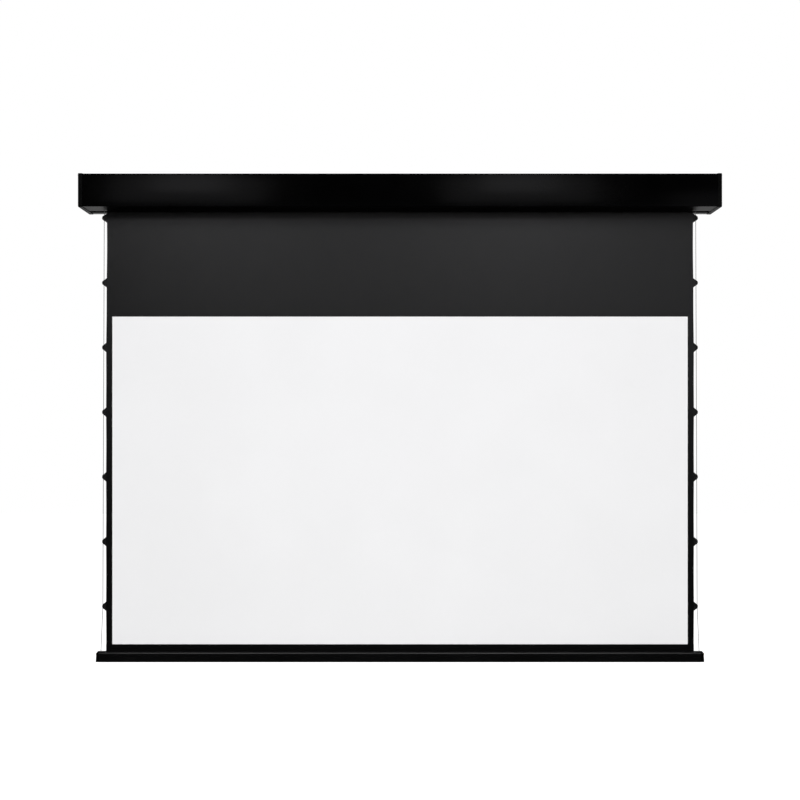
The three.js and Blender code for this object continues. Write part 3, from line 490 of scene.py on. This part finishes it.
def boolean(mesh, tool, operation):
    """The mesh, cut by or joined with a tool given as points and faces."""
    body = bpy.data.objects.new("worked", mesh)
    tool_mesh = bpy.data.meshes.new("tool")
    tool_mesh.from_pydata([tuple(map(float, p)) for p in tool[0]], [], tool[1])
    other = bpy.data.objects.new("tool", tool_mesh)
    scene.collection.objects.link(body)
    scene.collection.objects.link(other)
    modifier = body.modifiers.new("boolean", "BOOLEAN")
    modifier.operation = operation
    modifier.solver = "EXACT"
    modifier.object = other
    worked = bpy.data.meshes.new_from_object(body.evaluated_get(bpy.context.evaluated_depsgraph_get()))
    bpy.data.objects.remove(body)
    bpy.data.objects.remove(other)
    return worked


def mesh_of(solid, material):
    mesh = bpy.data.meshes.new("solid")
    mesh.from_pydata([tuple(map(float, p)) for p in solid[0]], [], solid[1])
    mesh.materials.append(material)
    return mesh


def sheet_solid(xs, zs, front, back):
    """A closed sheet over a grid of places. Rows go up and columns go right. front and back are its y."""
    rows, columns = xs.shape
    count = rows * columns
    points = np.concatenate([
        np.stack([xs, front, zs], -1).reshape(-1, 3),
        np.stack([xs, back, zs], -1).reshape(-1, 3),
    ])
    faces, sides = [], []
    for i in range(rows - 1):
        for j in range(columns - 1):
            a = i * columns + j
            b = a + columns
            faces.append((a, a + 1, b + 1, b))
            sides.append(0)
            faces.append((count + a, count + b, count + b + 1, count + a + 1))
            sides.append(1)
    rim = ([(0, j) for j in range(columns)] + [(i, columns - 1) for i in range(1, rows)]
           + [(rows - 1, j) for j in range(columns - 2, -1, -1)] + [(i, 0) for i in range(rows - 2, 0, -1)])
    for k, (i, j) in enumerate(rim):
        m, n = rim[(k + 1) % len(rim)]
        a, b = i * columns + j, m * columns + n
        faces.append((a, count + a, count + b, b))
        sides.append(1)
    return points, faces, sides


# The sheet

def smooth_share(value, low, high):
    share = np.clip((value - low) / (high - low), 0, 1)
    return share * share * (3 - 2 * share)


def drawn_in(z):
    """How far the sheet's edge stands inside its straight line at a height."""
    z = np.asarray(z, float)
    between_tabs = (1 - np.cos(2 * math.pi * (z - LOWEST_TAB_Z) / TAB_PITCH)) / 2
    return NECK * smooth_share(z, NECK_FOOT, NECK_TOP) + SCALLOP * between_tabs


def ripple(x, z):
    """The sheet's own faint unevenness, in y. It is nil at the roller and at the bar."""
    held = np.clip((ROLLER_Z - z) / RIPPLE_FADE, 0, 1) * np.clip((z - BAR_TOP) / RIPPLE_FADE, 0, 1)
    return RIPPLE * held * (np.sin(9.1 * x + 2.3 * z) + 0.6 * np.sin(5.3 * x - 6.1 * z + 1.0))


def cloth(name, span_x, span_z, columns, rows, thickness, materials, slot, node, edges=(False, False)):
    """One panel of the sheet. An edge of the sheet is drawn in as the tabs and the roller leave it."""
    zs, xs = np.meshgrid(np.linspace(*span_z, rows + 1), np.linspace(*span_x, columns + 1), indexing="ij")
    width = span_x[1] - span_x[0]
    if edges[0]:
        xs = xs + drawn_in(zs) * (span_x[1] - xs) / width
    if edges[1]:
        xs = xs - drawn_in(zs) * (xs - span_x[0]) / width
    middle = SHEET_Y + ripple(xs, zs)
    points, faces, sides = sheet_solid(xs, zs, middle - thickness / 2, middle + thickness / 2)
    piece = make_piece(name, points, faces, materials, "case", slot, slots=sides)
    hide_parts(node)
    return piece


def roll_up(piece):
    """The piece gets a mesh of its own."""
    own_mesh(piece)


def make_sheet():
    """The panels of the sheet. The black ones are a little thicker than the white one."""
    border_thickness = SHEET_THICKNESS * BLACK_CLOTH_SHARE
    drop = cloth("drop_cloth", (-SHEET_HALF, SHEET_HALF), (PICTURE_TOP, ROLLER_Z), 220, 60,
                 border_thickness, [BLACK_CLOTH, BACK_CLOTH], "black_cloth", "black_drop", (True, True))
    picture = cloth("picture_cloth", (-PICTURE_HALF, PICTURE_HALF), (PICTURE_BOTTOM, PICTURE_TOP), 220, 126,
                    SHEET_THICKNESS, [WHITE, BACK_CLOTH], "white_screen", "viewing_surface")
    right = cloth("border_right", (PICTURE_HALF, SHEET_HALF), (PICTURE_BOTTOM, PICTURE_TOP), 8, 300,
                  border_thickness, [BLACK_CLOTH, BACK_CLOTH], "black_cloth", "side_border_right",
                  (False, True))
    left = cloth("border_left", (-SHEET_HALF, -PICTURE_HALF), (PICTURE_BOTTOM, PICTURE_TOP), 8, 300,
                 border_thickness, [BLACK_CLOTH, BACK_CLOTH], "black_cloth", "side_border_left",
                 (True, False))
    hem, hem_length = bottom_hem(border_thickness)
    for piece in (drop, picture, right, left, hem):
        roll_up(piece)


def hem_path(thickness):
    """Where the middle of the cloth runs, in y and z: down, round the hem rod, and up behind itself."""
    radius = HEM_RADIUS - thickness / 2
    meet = 1.6 * radius
    lean = math.acos(radius / meet)
    front = [(SHEET_Y, z) for z in np.linspace(PICTURE_BOTTOM, HEM_Z + meet, 12)]
    turn = np.linspace(math.pi / 2 + lean, 2.5 * math.pi - lean, 40)
    loop = [(SHEET_Y + radius * math.cos(a), HEM_Z + radius * math.sin(a)) for a in turn]
    behind = SHEET_Y + thickness * 1.02
    flap = [(behind, z) for z in np.linspace(HEM_Z + meet, PICTURE_BOTTOM - HEM_FLAP, 4)]
    return np.array(front + loop + flap)


def bottom_hem(thickness):
    """The bottom border, which goes down into the bar and round the hem rod, welded to itself behind."""
    path = hem_path(thickness)
    along = np.gradient(path, axis=0)
    along /= np.linalg.norm(along, axis=1)[:, None]
    across = np.stack([along[:, 1], -along[:, 0]], -1) * thickness / 2
    outline = np.concatenate([path + across, (path - across)[::-1]])
    solid = loft([at_x(x, outline) for x in np.linspace(-SHEET_HALF, SHEET_HALF, 41)])
    piece = make_piece("bottom_hem", *solid, [BLACK_CLOTH], "case", "black_cloth")
    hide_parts("bottom_border")
    length = float(np.linalg.norm(np.diff(path, axis=0), axis=1).sum())
    return piece, length


# Tabs and cords

def cord_offset(z):
    """How far outside the straight line of the sheet's edge the cord passes, at a height."""
    heights = [CORD_END_Z, BAR_TOP, LOWEST_TAB_Z, LOWEST_TAB_Z + (TAB_COUNT - 1) * TAB_PITCH, ROLLER_Z]
    return np.interp(z, heights, [CORD_AT_BAR, CORD_AT_BAR, CORD_LOW, CORD_HIGH, CORD_HIGH])


def tab_outline(samples=160):
    """Heights above the tab's middle and how far it reaches there."""
    t = np.linspace(0, 1, samples)
    lower = np.array([[0, -0.5], [0.6, -0.22], [1, -0.26], [1, 0]])
    weights = np.stack([(1 - t) ** 3, 3 * t * (1 - t) ** 2, 3 * t * t * (1 - t), t ** 3], -1)
    curve = weights @ lower
    heights = np.concatenate([curve[:, 1], -curve[::-1, 1][1:]]) * TAB_BASE
    reach = np.concatenate([curve[:, 0], curve[::-1, 0][1:]]) * TAB_REACH
    return heights, reach


def tab_solid(z_middle):
    """A tab of two layers with a sleeve for the cord, and a strip welded behind the sheet's edge."""
    heights, reach = tab_outline()
    reach = reach * (1 + float(drawn_in(z_middle)) / TAB_REACH)
    rows = TAB_BASE / 2 * np.sin(np.linspace(-math.pi / 2, math.pi / 2, 49))
    out = np.maximum(np.interp(rows, heights, reach), TAB_TIP)
    strip = np.linspace(-TAB_WELD, 0, 12)[:-1]
    share = np.linspace(0, 1, 34)
    offsets = np.stack([np.concatenate([strip, share * o]) for o in out])
    zs = z_middle + np.repeat(rows[:, None], offsets.shape[1], 1)
    xs = SHEET_HALF - drawn_in(zs) + offsets
    sleeve = np.maximum(0, TAB_SLEEVE ** 2 - (xs - SHEET_HALF - cord_offset(zs)) ** 2) ** 0.5
    rim = np.clip((out[:, None] - offsets) / TAB_RIM, 0, 1) ** 0.5
    end = np.clip((TAB_BASE / 2 - np.abs(rows[:, None])) / TAB_END, 0, 1) ** 0.5
    flap = np.maximum(TAB_FLAP, sleeve) * np.maximum(0.12, rim * end)
    loose = smooth_share(offsets, 0.0001, 0.0026)
    weld_edge = np.clip((offsets + TAB_WELD) / TAB_WELD_THICKNESS, 0, 1)
    weld_back = TAB_WELD_GAP + TAB_WELD_THICKNESS * np.maximum(0.15, end * weld_edge)
    front = SHEET_Y + TAB_WELD_GAP * (1 - loose) - flap * loose
    back = SHEET_Y + weld_back * (1 - loose) + flap * loose
    points, faces, _ = sheet_solid(xs, zs, front, back)
    return points, faces


def make_tabs():
    for i in range(TAB_COUNT):
        number = TAB_COUNT - i
        solid = tab_solid(LOWEST_TAB_Z + i * TAB_PITCH)
        for side, one in (("right", solid), ("left", mirror(solid))):
            piece = make_piece(f"tab_{side}_{number}", *one, [TAB_CLOTH], "case", "black_cloth")
            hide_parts(f"tension_tab_{side}_{number}")
            roll_up(piece)


def cord_solid():
    """A cord of three strands twisted together, from the bar up to the roller."""
    zs = np.arange(CORD_END_Z, ROLLER_Z, CORD_STEP)
    xs = SHEET_HALF + cord_offset(zs)
    half = CORD_EASE // 2
    padded = np.concatenate([np.full(half, xs[0]), xs, np.full(half, xs[-1])])
    xs = np.convolve(padded, np.ones(CORD_EASE) / CORD_EASE, "valid")
    around = np.linspace(0, 2 * math.pi, CORD_SIDES, endpoint=False)
    twist = around[None, :] - 2 * math.pi * zs[:, None] / CORD_TWIST
    lobes = 0.86 + 0.16 * np.abs(np.cos(1.5 * twist))
    radius = CORD_RADIUS * lobes
    rings = np.stack([xs[:, None] + radius * np.cos(around), SHEET_Y + radius * np.sin(around),
                      np.repeat(zs[:, None], CORD_SIDES, 1)], -1)
    path = [(float(xs[i]), SHEET_Y, float(zs[i])) for i in range(len(zs) - 1, -1, -12)]
    path.append((float(xs[0]), SHEET_Y, float(zs[0])))
    return loft(list(rings)), path


def make_cords():
    solid, path = cord_solid()
    for side, sign, one in (("right", 1, solid), ("left", -1, mirror(solid))):
        piece = make_piece(f"cord_{side}", *one, [CORD], "case", "cord_grey", sharp=math.radians(60))
        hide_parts(f"tension_cord_{side}")
        roll_up(piece)


# Screws with a cross recess

def screw_ports():
    """Where the four screws of an end cap sit, in y and z."""
    front, back = PORT_INSET - CASE_DEPTH, -PORT_INSET
    top = CASE_TOP - PORT_INSET
    return [(front, CASE_FOOT + FRONT_PORT_RISE), (front, top), (back, top), (back, CASE_FOOT + PORT_INSET)]


def cross_recess(u, v, arm, reach):
    """1 on the floor of a cross, 0 at the edge of its arms, and below 0 outside it."""
    across = min(1, (arm - abs(u)) / (arm / 2)) if abs(v) < reach else -1
    upright = min(1, (arm - abs(v)) / (arm / 2)) if abs(u) < reach else -1
    return max(across, upright)


def screw_points(radius, height, rings, angles):
    """Rings of points over the dome from its middle outwards, then the middle, then the foot."""
    dome, rim, rim_start = 0.35, 0.65, 0.82
    arm, reach, recess = radius * 0.15, radius * 0.58, height * 0.75
    points = []
    for k in range(1, rings + 1):
        share = k / rings
        level = height * (1 - dome * share ** 2 - rim * max(0, (share - rim_start) / (1 - rim_start)) ** 2)
        for angle in angles:
            u, v = share * radius * math.cos(angle), share * radius * math.sin(angle)
            dip = recess * max(0.0, cross_recess(u, v, arm, reach)) * (1 - share / 2)
            points.append((u, v, level - dip))
    points.append((0, 0, height - recess))
    points += [(radius * math.cos(angle), radius * math.sin(angle), -height * 0.2) for angle in angles]
    return points


def screw_head(name, centre, facing, radius, height, body, slot, material):
    """A domed head with a cross recess. It faces along X or down."""
    rings, sides = 26, 72
    points = screw_points(radius, height, rings, np.linspace(0, 2 * math.pi, sides, endpoint=False))
    top = rings * sides
    edge, foot = top - sides, top + 1
    faces = []
    for i in range(sides):
        faces.append((top, i, (i + 1) % sides))
    for a in range(0, edge, sides):
        b = a + sides
        for i in range(sides):
            j = (i + 1) % sides
            faces.append((a + i, b + i, b + j, a + j))
    for i in range(sides):
        j = (i + 1) % sides
        faces.append((edge + i, foot + i, foot + j, edge + j))
    faces.append(tuple(foot + i for i in reversed(range(sides))))
    turn = {"+x": Matrix(((0, 0, 1), (1, 0, 0), (0, 1, 0))),
            "-x": Matrix(((0, 0, -1), (1, 0, 0), (0, -1, 0))),
            "-z": Matrix(((1, 0, 0), (0, -1, 0), (0, 0, -1)))}[facing]
    placed = [turn @ Vector(p) + Vector(centre) for p in points]
    return make_piece(name, placed, outward(placed, faces), [material], body, slot)


def make_screws():
    for side, sign, outwards in (("right", 1, "+x"), ("left", -1, "-x")):
        for number, (y, z) in enumerate(screw_ports(), 1):
            screw_head(f"cap_screw_{side}_{number}", (sign * CAP_FACE, y, z), outwards,
                       radius=0.004, height=0.0011, body="case", slot="steel", material=SCREW_STEEL)
        screw_head(f"tension_screw_{side}", (sign * BAR_FACE, SHEET_Y, HEM_Z), outwards,
                   radius=0.0036, height=0.0018, body="bar", slot="brass", material=BRASS)
        low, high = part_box(f"cover_screw_{side}")
        middle = (low + high) / 2
        screw_head(f"cover_screw_face_{side}", (middle.x, middle.y, low.z + 0.0001), "-z",
                   radius=0.0035, height=0.0005, body="case", slot="steel", material=SCREW_STEEL)


# End caps of the case

def end_cap_solid():
    """A hollow moulded cap with rounded edges, on the right."""
    (y0, y1), (z0, z1) = CAP_Y, CAP_Z
    inner = inside_case(CAP_WALL)
    mouth = inside_case(CAP_MOUTH_WALL)
    rings = [at_x(CAP_FACE - CAP_EDGE, inner), at_x(CASE_HALF + CAP_SEAT, inner),
             at_x(CASE_HALF + CAP_SEAT, mouth), at_x(CASE_HALF, mouth),
             at_x(CASE_HALF, rounded_rectangle(y0, y1, z0, z1, CAP_CORNER, CAP_STEPS))]
    for step in range(CAP_STEPS + 1):
        angle = math.pi / 2 * step / CAP_STEPS
        inset = CAP_EDGE * (1 - math.cos(angle))
        rings.append(at_x(CAP_FACE - CAP_EDGE + CAP_EDGE * math.sin(angle), rounded_rectangle(
            y0 + inset, y1 - inset, z0 + inset, z1 - inset, CAP_CORNER - inset * 0.9, CAP_STEPS)))
    return loft(rings)


def inside_case(wall):
    """The outline of a hollow that leaves a wall inside the case's outer faces."""
    return rounded_rectangle(-CASE_DEPTH + wall, -wall, CASE_FOOT + wall, CASE_TOP - wall,
                             CAP_INNER_CORNER, CAP_STEPS)


def cap_ribs():
    """The grooves that leave a ribbed band under the cap."""
    start, end = CASE_HALF + CAP_GROOVE_ENDS[0], CAP_FACE - CAP_GROOVE_ENDS[1]
    z = CASE_FOOT - CAP_GROOVE_DROP
    grooves = []
    for i in range(CAP_RIBS):
        y = -CASE_DEPTH + CAP_RIB_START + i * CAP_RIB_PITCH
        grooves.append(round_rod((start, y, z), (end, y, z), CAP_GROOVE_RADIUS, 20))
    return grooves


def make_end_caps():
    grooves = cap_ribs()
    start, end = CAP_FACE - CAP_SCREW_SEAT_DEPTH, CAP_FACE + CUT_PAST
    seats = [round_rod((start, y, z), (end, y, z), CAP_SCREW_SEAT, 40) for y, z in screw_ports()]
    inlet = rounded_box((CAP_FACE - INLET_CUT_DEPTH, CAP_FACE + 2 * CUT_PAST),
                        (INLET_Y[0] - INLET_FIT, INLET_Y[1] + INLET_FIT),
                        (INLET_Z[0] - INLET_FIT, INLET_Z[1] + INLET_FIT), 0.0004, 2)
    right = boolean(mesh_of(end_cap_solid(), CAP_PLASTIC), together(*grooves, *seats), "DIFFERENCE")
    left = boolean(mesh_of(mirror(end_cap_solid()), CAP_PLASTIC), mirror(together(*grooves, *seats, inlet)),
                   "DIFFERENCE")
    for side, mesh in (("right", right), ("left", left)):
        piece = place_mesh(f"end_cap_shell_{side}", mesh, "case")
        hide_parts(f"end_cap_{side}")


# End caps of the weight bar

def bar_cap_outline(steps=8):
    """The cap's front view, from the bar's end outwards, in x and z."""
    points = [(BAR_HALF, BAR_FOOT)]
    low = [(BAR_FACE - BAR_CAP_FOOT, BAR_FOOT), (BAR_FACE, BAR_FOOT), (BAR_FACE, BAR_FOOT + BAR_CAP_FOOT)]
    high = [(BAR_FACE - BAR_CAP_LEAN, BAR_TOP - BAR_CAP_CORNER), (BAR_FACE - BAR_CAP_LEAN, BAR_TOP),
            (BAR_FACE - BAR_CAP_CORNER, BAR_TOP)]
    for a, b, c in (low, high):
        for t in np.linspace(0, 1, steps):
            weights = np.array([(1 - t) ** 2, 2 * t * (1 - t), t * t])
            points.append(tuple(weights @ np.array([a, b, c])))
    points.append((BAR_HALF, BAR_TOP))
    return np.array(points)


def bar_section(steps=14):
    """The bar's section in y and z, with its large front edge on top."""
    y0, y1 = BAR_Y
    corners = [(y1, BAR_FOOT, -1, 1, BAR_FOOT_RADIUS, -90), (y1, BAR_TOP, -1, -1, BAR_BACK_RADIUS, 0),
               (y0, BAR_TOP, 1, -1, BAR_FRONT_RADIUS, 90), (y0, BAR_FOOT, 1, 1, BAR_FOOT_RADIUS, 180)]
    points = []
    for y, z, into_y, into_z, radius, start in corners:
        for step in range(steps + 1):
            angle = math.radians(start + 90 * step / steps)
            points.append((y + into_y * radius + radius * math.cos(angle),
                           z + into_z * radius + radius * math.sin(angle)))
    return points


def make_bar_caps():
    """The caps, each with a tongue on top of the bar, a riser that joins them, and the cord's hole."""
    outline = bar_cap_outline()
    y0, y1 = BAR_Y
    middle_z = (BAR_TOP + BAR_FOOT) / 2
    extent = np.array([BAR_FACE - BAR_HALF, (BAR_TOP - BAR_FOOT) / 2])
    rings = []
    steps = 6
    for sign, end in ((1, y0), (-1, y1)):
        stations = range(steps + 1) if sign > 0 else reversed(range(steps + 1))
        for step in stations:
            angle = math.pi / 2 * step / steps
            inset = BAR_CAP_EDGE * (1 - math.sin(angle))
            shrink = (extent - inset) / extent
            xs = BAR_HALF + (outline[:, 0] - BAR_HALF) * shrink[0]
            zs = middle_z + (outline[:, 1] - middle_z) * shrink[1]
            y = end + sign * BAR_CAP_EDGE * (1 - math.cos(angle))
            rings.append([(x, y, z) for x, z in zip(xs, zs)])
    body = loft(rings)
    section = loft([at_x(BAR_HALF - CUT_PAST, bar_section()), at_x(BAR_FACE + CUT_PAST, bar_section())])
    tongue = rounded_box((BAR_HALF - BAR_CAP_TONGUE, BAR_FACE - TONGUE_END_GAP),
                         (y0 + TONGUE_INSET, y1 - TONGUE_INSET),
                         (BAR_TOP + TONGUE_GAP, BAR_TOP + TONGUE_TOP), 0.0005)
    riser = rounded_box((BAR_HALF + RISER_START, BAR_FACE - RISER_END_GAP),
                        (y0 + RISER_INSET, y1 - RISER_INSET),
                        (BAR_TOP - RISER_FOOT, BAR_TOP + RISER_TOP), 0.0004)
    cord_x = SHEET_HALF + CORD_AT_BAR
    hole = round_rod((cord_x, SHEET_Y, BAR_TOP - CORD_HOLE_DEPTH), (cord_x, SHEET_Y, BAR_TOP + CORD_HOLE_TOP),
                     CORD_HOLE_RADIUS, 24)
    mesh = boolean(mesh_of(body, CAP_PLASTIC), section, "INTERSECT")
    mesh = boolean(mesh, riser, "UNION")
    mesh = boolean(mesh, tongue, "UNION")
    mesh = boolean(mesh, hole, "DIFFERENCE")
    points = [tuple(v.co) for v in mesh.vertices]
    faces = [tuple(p.vertices) for p in mesh.polygons]
    for side, one in (("right", (points, faces)), ("left", mirror((points, faces)))):
        piece = make_piece(f"bar_cap_{side}", *one, [CAP_PLASTIC], "bar", "black_plastic")
        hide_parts(f"bar_end_cap_{side}")


# Nodes that are shown as they are, with their materials and smooth curves

def dress_nodes():
    looks = {
        "case_housing": CASE_COAT, "access_cover": COVER_COAT, "weight_bar": BAR_COAT,
        "end_plate_right": GALVANISED, "end_plate_left": GALVANISED,
        "wall_bracket_right": GALVANISED, "wall_bracket_left": GALVANISED,
        "cover_screw_right": SCREW_STEEL, "cover_screw_left": SCREW_STEEL,
        "power_inlet": INNER_PLASTIC, "control_box": INNER_PLASTIC, "motor_head": INNER_PLASTIC,
        "drive_wheel": INNER_PLASTIC, "motor_crown": INNER_PLASTIC, "idler_plug": INNER_PLASTIC,
        "bearing_housing": INNER_PLASTIC, "motor_lead": RUBBER, "supply_lead": RUBBER,
        "tubular_motor": MOTOR_PAINT, "motor_shaft": STEEL, "idler_shaft": STEEL,
        "idler_bearing": STEEL, "hem_rod": STEEL, "ballast_rod": STEEL, "roller_tube": ALUMINIUM,
        "fabric_roll": BACK_CLOTH, "cord_turns_right": CORD, "cord_turns_left": CORD,
        "cord_anchor_right": BRASS, "cord_anchor_left": BRASS,
    }
    for name, material in looks.items():
        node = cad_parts[name]
        for slot in node.material_slots:
            slot.material = material
        node.data.polygons.foreach_set("use_smooth", [True] * len(node.data.polygons))
        weld = node.modifiers.new("weld", "WELD")
        weld.merge_threshold = 1e-5
        split = node.modifiers.new("split", "EDGE_SPLIT")
        split.split_angle = math.radians(32)


# Camera, floor and light

def make_camera():
    data = bpy.data.cameras.new("camera")
    data.lens = CAMERA_LENS
    data.sensor_width = CAMERA_SENSOR
    data.shift_y = CAMERA_RISE
    camera = bpy.data.objects.new("camera", data)
    camera.location = CAMERA_PLACE
    camera.rotation_euler = (math.pi / 2, 0, 0)
    scene.collection.objects.link(camera)
    scene.camera = camera


def make_floor():
    """A pale floor below the screen. It glows for the camera, and less in reflections, to show as white."""
    mesh = bpy.data.meshes.new("floor")
    corners = [(-FLOOR_SIZE, FLOOR_FRONT, FLOOR_Z), (FLOOR_SIZE, FLOOR_FRONT, FLOOR_Z),
               (FLOOR_SIZE, FLOOR_SIZE, FLOOR_Z), (-FLOOR_SIZE, FLOOR_SIZE, FLOOR_Z)]
    mesh.from_pydata(corners, [], [(0, 1, 2, 3)])
    floor = bpy.data.objects.new("floor", mesh)
    scene.collection.objects.link(floor)
    material = bpy.data.materials.new("floor")
    material.use_nodes = True
    tree = material.node_tree
    shader = tree.nodes["Principled BSDF"]
    shader.inputs["Base Color"].default_value = FLOOR_COLOR
    shader.inputs["Roughness"].default_value = 0.9
    shader.inputs["Specular IOR Level"].default_value = 0.0
    path = tree.nodes.new("ShaderNodeLightPath")
    strength = tree.nodes.new("ShaderNodeMath")
    strength.operation = "MULTIPLY"
    strength.inputs[1].default_value = FLOOR_GLOW
    mirrored = tree.nodes.new("ShaderNodeMath")
    mirrored.operation = "MULTIPLY"
    mirrored.inputs[1].default_value = FLOOR_MIRRORED
    seen = tree.nodes.new("ShaderNodeMath")
    seen.operation = "MAXIMUM"
    tree.links.new(path.outputs["Is Glossy Ray"], mirrored.inputs[0])
    tree.links.new(path.outputs["Is Camera Ray"], seen.inputs[0])
    tree.links.new(mirrored.outputs[0], seen.inputs[1])
    tree.links.new(seen.outputs[0], strength.inputs[0])
    tree.links.new(strength.outputs[0], shader.inputs["Emission Strength"])
    shader.inputs["Emission Color"].default_value = (1, 1, 1, 1)
    mesh.materials.append(material)


def make_world():
    """White behind the screen and dim in front of it. The camera always sees white."""
    world = bpy.data.worlds.new("studio")
    scene.world = world
    world.use_nodes = True
    tree = world.node_tree
    background = tree.nodes["Background"]
    background.inputs["Color"].default_value = (1, 1, 1, 1)
    place = tree.nodes.new("ShaderNodeTexCoord")
    parts = tree.nodes.new("ShaderNodeSeparateXYZ")
    tree.links.new(place.outputs["Generated"], parts.inputs["Vector"])
    shade = tree.nodes.new("ShaderNodeMapRange")
    shade.inputs["From Min"].default_value = WORLD_TURN[0]
    shade.inputs["From Max"].default_value = WORLD_TURN[1]
    shade.inputs["To Min"].default_value = WORLD_FRONT
    shade.inputs["To Max"].default_value = WORLD_BACK
    tree.links.new(parts.outputs["Y"], shade.inputs["Value"])
    path = tree.nodes.new("ShaderNodeLightPath")
    level = shade.outputs["Result"]
    for ray, strength in (("Is Diffuse Ray", WORLD_FILL), ("Is Camera Ray", 1.0)):
        mix = tree.nodes.new("ShaderNodeMix")
        mix.data_type = "FLOAT"
        tree.links.new(path.outputs[ray], mix.inputs["Factor"])
        tree.links.new(level, mix.inputs["A"])
        mix.inputs["B"].default_value = strength
        level = mix.outputs["Result"]
    tree.links.new(level, background.inputs["Strength"])


def area_light(name, place, target, width, height, power, glossy=True, color=(1, 1, 1)):
    """A soft box that no camera sees. Without glossy it leaves no highlight."""
    data = bpy.data.lights.new(name, "AREA")
    data.shape = "RECTANGLE"
    data.size = width
    data.size_y = height
    data.energy = power
    data.color = color
    light = bpy.data.objects.new(name, data)
    light.visible_camera = False
    light.visible_glossy = glossy
    light.location = place
    light.rotation_euler = (Vector(target) - Vector(place)).to_track_quat("-Z", "Y").to_euler()
    scene.collection.objects.link(light)


def make_lights():
    area_light("key", place=(0, -5.0, 3.2), target=(0, 0, -0.9), width=7.0, height=1.6, power=88)
    area_light("front_fill", place=(0, -5.0, 0.6), target=(0, 0, -0.9), width=6.0, height=1.2, power=20,
               glossy=False)
    area_light("low_fill", place=(0, -4.2, -2.2), target=(0, 0, -1.4), width=5.0, height=0.6, power=70,
               glossy=False)
    area_light("low_strip", place=(0.4, LIGHTS_Y, 0.03), target=(0, 0, -0.4), width=5.6, height=0.4,
               power=15.5, color=COOL_WHITE)
    for side, x in (("left", -1.70), ("right", 0.97)):
        target = (x * 0.46, 0, -0.05)
        area_light(f"soft_box_{side}", place=(x, LIGHTS_Y, 1.26), target=target, width=0.6, height=0.68,
                   power=5.4, color=COOL_WHITE)
        area_light(f"spill_{side}", place=(x, LIGHTS_Y, 1.0), target=target, width=1.25, height=0.9,
                   power=10.2, color=COOL_WHITE)
    area_light("side_fill", place=(2.75, LIGHTS_Y, 0.35), target=(1.2, 0, -0.2), width=1.1, height=1.1,
               power=5, color=COOL_WHITE)
    area_light("back", place=(0, 3.6, 1.6), target=(0, 0, -0.8), width=4.5, height=1.6, power=70)


make_camera()
make_cords()
make_sheet()
make_tabs()
make_end_caps()
make_bar_caps()
make_screws()
dress_nodes()
make_floor()
make_world()
make_lights()

scene.view_settings.view_transform = "Standard"
